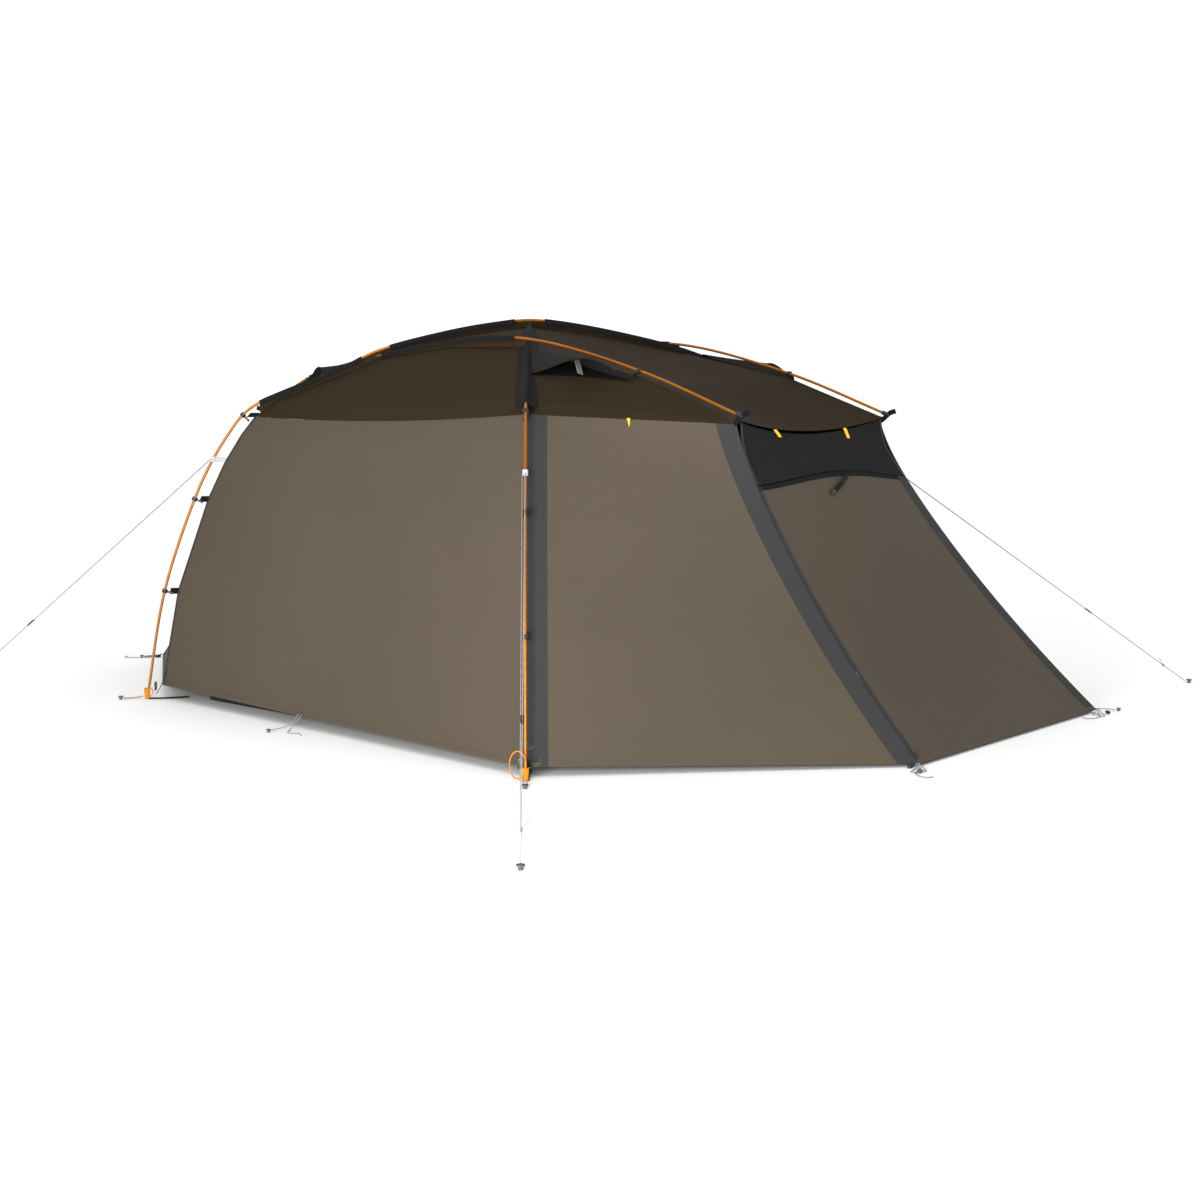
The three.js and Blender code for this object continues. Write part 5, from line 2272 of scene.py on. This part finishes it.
@dataclass
class InnerTent:
    """The pale inner cabin with its doors, and the groundsheet that it stands in."""

    base: tuple[float, float] = (0.778, 0.908)
    bend: float = 0.760
    top: tuple[float, float] = (0.390, 0.300)
    top_z: float = 1.190
    foot_z: float = 0.111
    floor: tuple[float, float] = (0.800, 0.930)
    rim: float = 0.110
    door_half: float = 0.450
    door_level: float = 0.45
    sill: float = 0.170

    def level(self, z: float) -> tuple[float, float]:
        """Gives the cabin's half sizes at a height."""
        base_x, base_y = self.base
        bend_x, bend_y = mix(base_x, 0.520, 0.35), mix(base_y, self.top[1], 0.3)
        if z < self.bend:
            t = (z - self.foot_z) / (self.bend - self.foot_z)
            return mix(base_x, bend_x, t), mix(base_y, bend_y, t)
        t = (z - self.bend) / (self.top_z - self.bend)
        return mix(bend_x, self.top[0], t), mix(bend_y, self.top[1], t)

    def build(self) -> None:
        """Makes the groundsheet, the cabin and its doors."""
        self.groundsheet()
        self.cabin()
        for end in End:
            self.door(end)

    def groundsheet(self) -> None:
        """Folds the groundsheet: a floor whose rim stands up all round."""
        half_x, half_y = self.floor

        def surface(u: float, v: float) -> Vector:
            """Finds one point of the tray."""
            x = mix(-half_x - self.rim, half_x + self.rim, u)
            y = mix(-half_y - self.rim, half_y + self.rim, v)
            up = max(abs(x) - half_x, abs(y) - half_y, 0.0)
            inset = 2 * MM
            cx = max(-half_x + inset, min(half_x - inset, x))
            cy = max(-half_y + inset, min(half_y - inset, y))
            flat = 1.6 * MM + 0.5 * MM * noise.noise(Vector((x, y, 0)) * 9) * (up == 0)
            return Vector((cx, cy, flat + up * 0.97))

        tray = sew("tent_floor", surface, (96, 108), FLOOR, thickness=0.9 * MM, heart=Vector((0, 0, -40)))
        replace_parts(tray, "groundsheet")
        declare_sheet(tray, surface)

    def panel(self, name: str, low: float, high: float, end_wall: int, first: float, last: float,
              finish: Finish, body: str = "frame") -> tuple[Object, Surface]:
        """Sews one panel of the cabin's skin.

        Args:
            name: the piece's name.
            low: its bottom.
            high: its top.
            end_wall: 0 and 2 for the end walls, 1 and 3 for the side walls.
            first: share of the wall's half width where it begins, from -1 to 1.
            last: share where it ends.
            finish: its finish.
            body: the CAD body that it moves with.

        Returns:
            The panel and its surface.
        """
        sign = 1 if end_wall < 2 else -1

        def surface(u: float, v: float) -> Vector:
            """Finds one point of the panel."""
            z = mix(low, high, v)
            half_x, half_y = self.level(z)
            share = mix(first, last, u)
            if end_wall % 2 == 0:
                return Vector((sign * half_x, share * half_y, z))
            return Vector((share * half_x, sign * half_y, z))

        made = sew(name, surface, (30, 24), finish, body, 0.8 * MM, heart=Vector((0, 0, 0.6)))
        return made, surface

    def cabin(self) -> None:
        """Sews the cabin's walls and roof."""
        pieces = []
        for k, word in ((1, "far"), (3, "near")):
            for low, high, part in ((self.foot_z, self.bend, "low"), (self.bend, self.top_z, "high")):
                pieces.append(self.panel(f"cabin_side_{word}_{part}", low, high, k, -1, 1, INNER))
        share = self.door_half / self.level(self.door_level)[1]
        for k, word in ((0, "front"), (2, "rear")):
            for name, low, high, first, last, finish in (
                    (f"cabin_end_{word}_left", self.foot_z, self.bend, -1, -share - 0.02, INNER),
                    (f"cabin_end_{word}_right", self.foot_z, self.bend, share + 0.02, 1, INNER),
                    (f"cabin_end_{word}_high", self.bend, self.top_z, -1, 1, NET),
                    (f"cabin_sill_{word}", self.foot_z, self.sill, -share, share, INNER)):
                pieces.append(self.panel(name, low, high, k, first, last, finish))

        def roof(u: float, v: float) -> Vector:
            """Finds one point of the cabin's flat top."""
            x, y = mix(-self.top[0], self.top[0], u), mix(-self.top[1], self.top[1], v)
            return Vector((x, y, self.top_z - 0.012 * math.sin(math.pi * u) * math.sin(math.pi * v)))

        top = sew("cabin_roof", roof, (20, 20), INNER, heart=Vector((0, 0, 0.6)))
        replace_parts(top, "inner_cabin")
        declare_sheet(top, roof)
        for made, surface in pieces:
            declare_sheet(made, surface)

    def door(self, end: End) -> None:
        """Sews an inner door of netting.

        Args:
            end: which end.
        """
        share = (self.door_half - 0.012) / self.level(self.door_level)[1]
        wall = 0 if end is End.FRONT else 2
        made, surface = self.panel(f"cabin_door_{end.word}", self.sill + 0.008, self.bend - 0.008, wall,
                                   -share, share, NET, f"inner_door_{end.word}")
        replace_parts(made, f"inner_door_{end.word}")
        declare_sheet(made, surface)


# ---- all of it ----


def main() -> None:
    """Builds the studio and then every sub-assembly."""
    logging.basicConfig(level=logging.INFO, format="%(message)s")
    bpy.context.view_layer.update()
    Studio().build()
    poles = Poles()
    fly = Flysheet()
    for assembly in (Guylines(), poles, Sleeves(poles), fly, Doors(fly), RoofVents(), LegFittings(poles),
                     HemPegs(), InnerTent()):
        assembly.build()
        LOG.info("built %s", type(assembly).__name__)


if __name__ == "__main__":
    main()
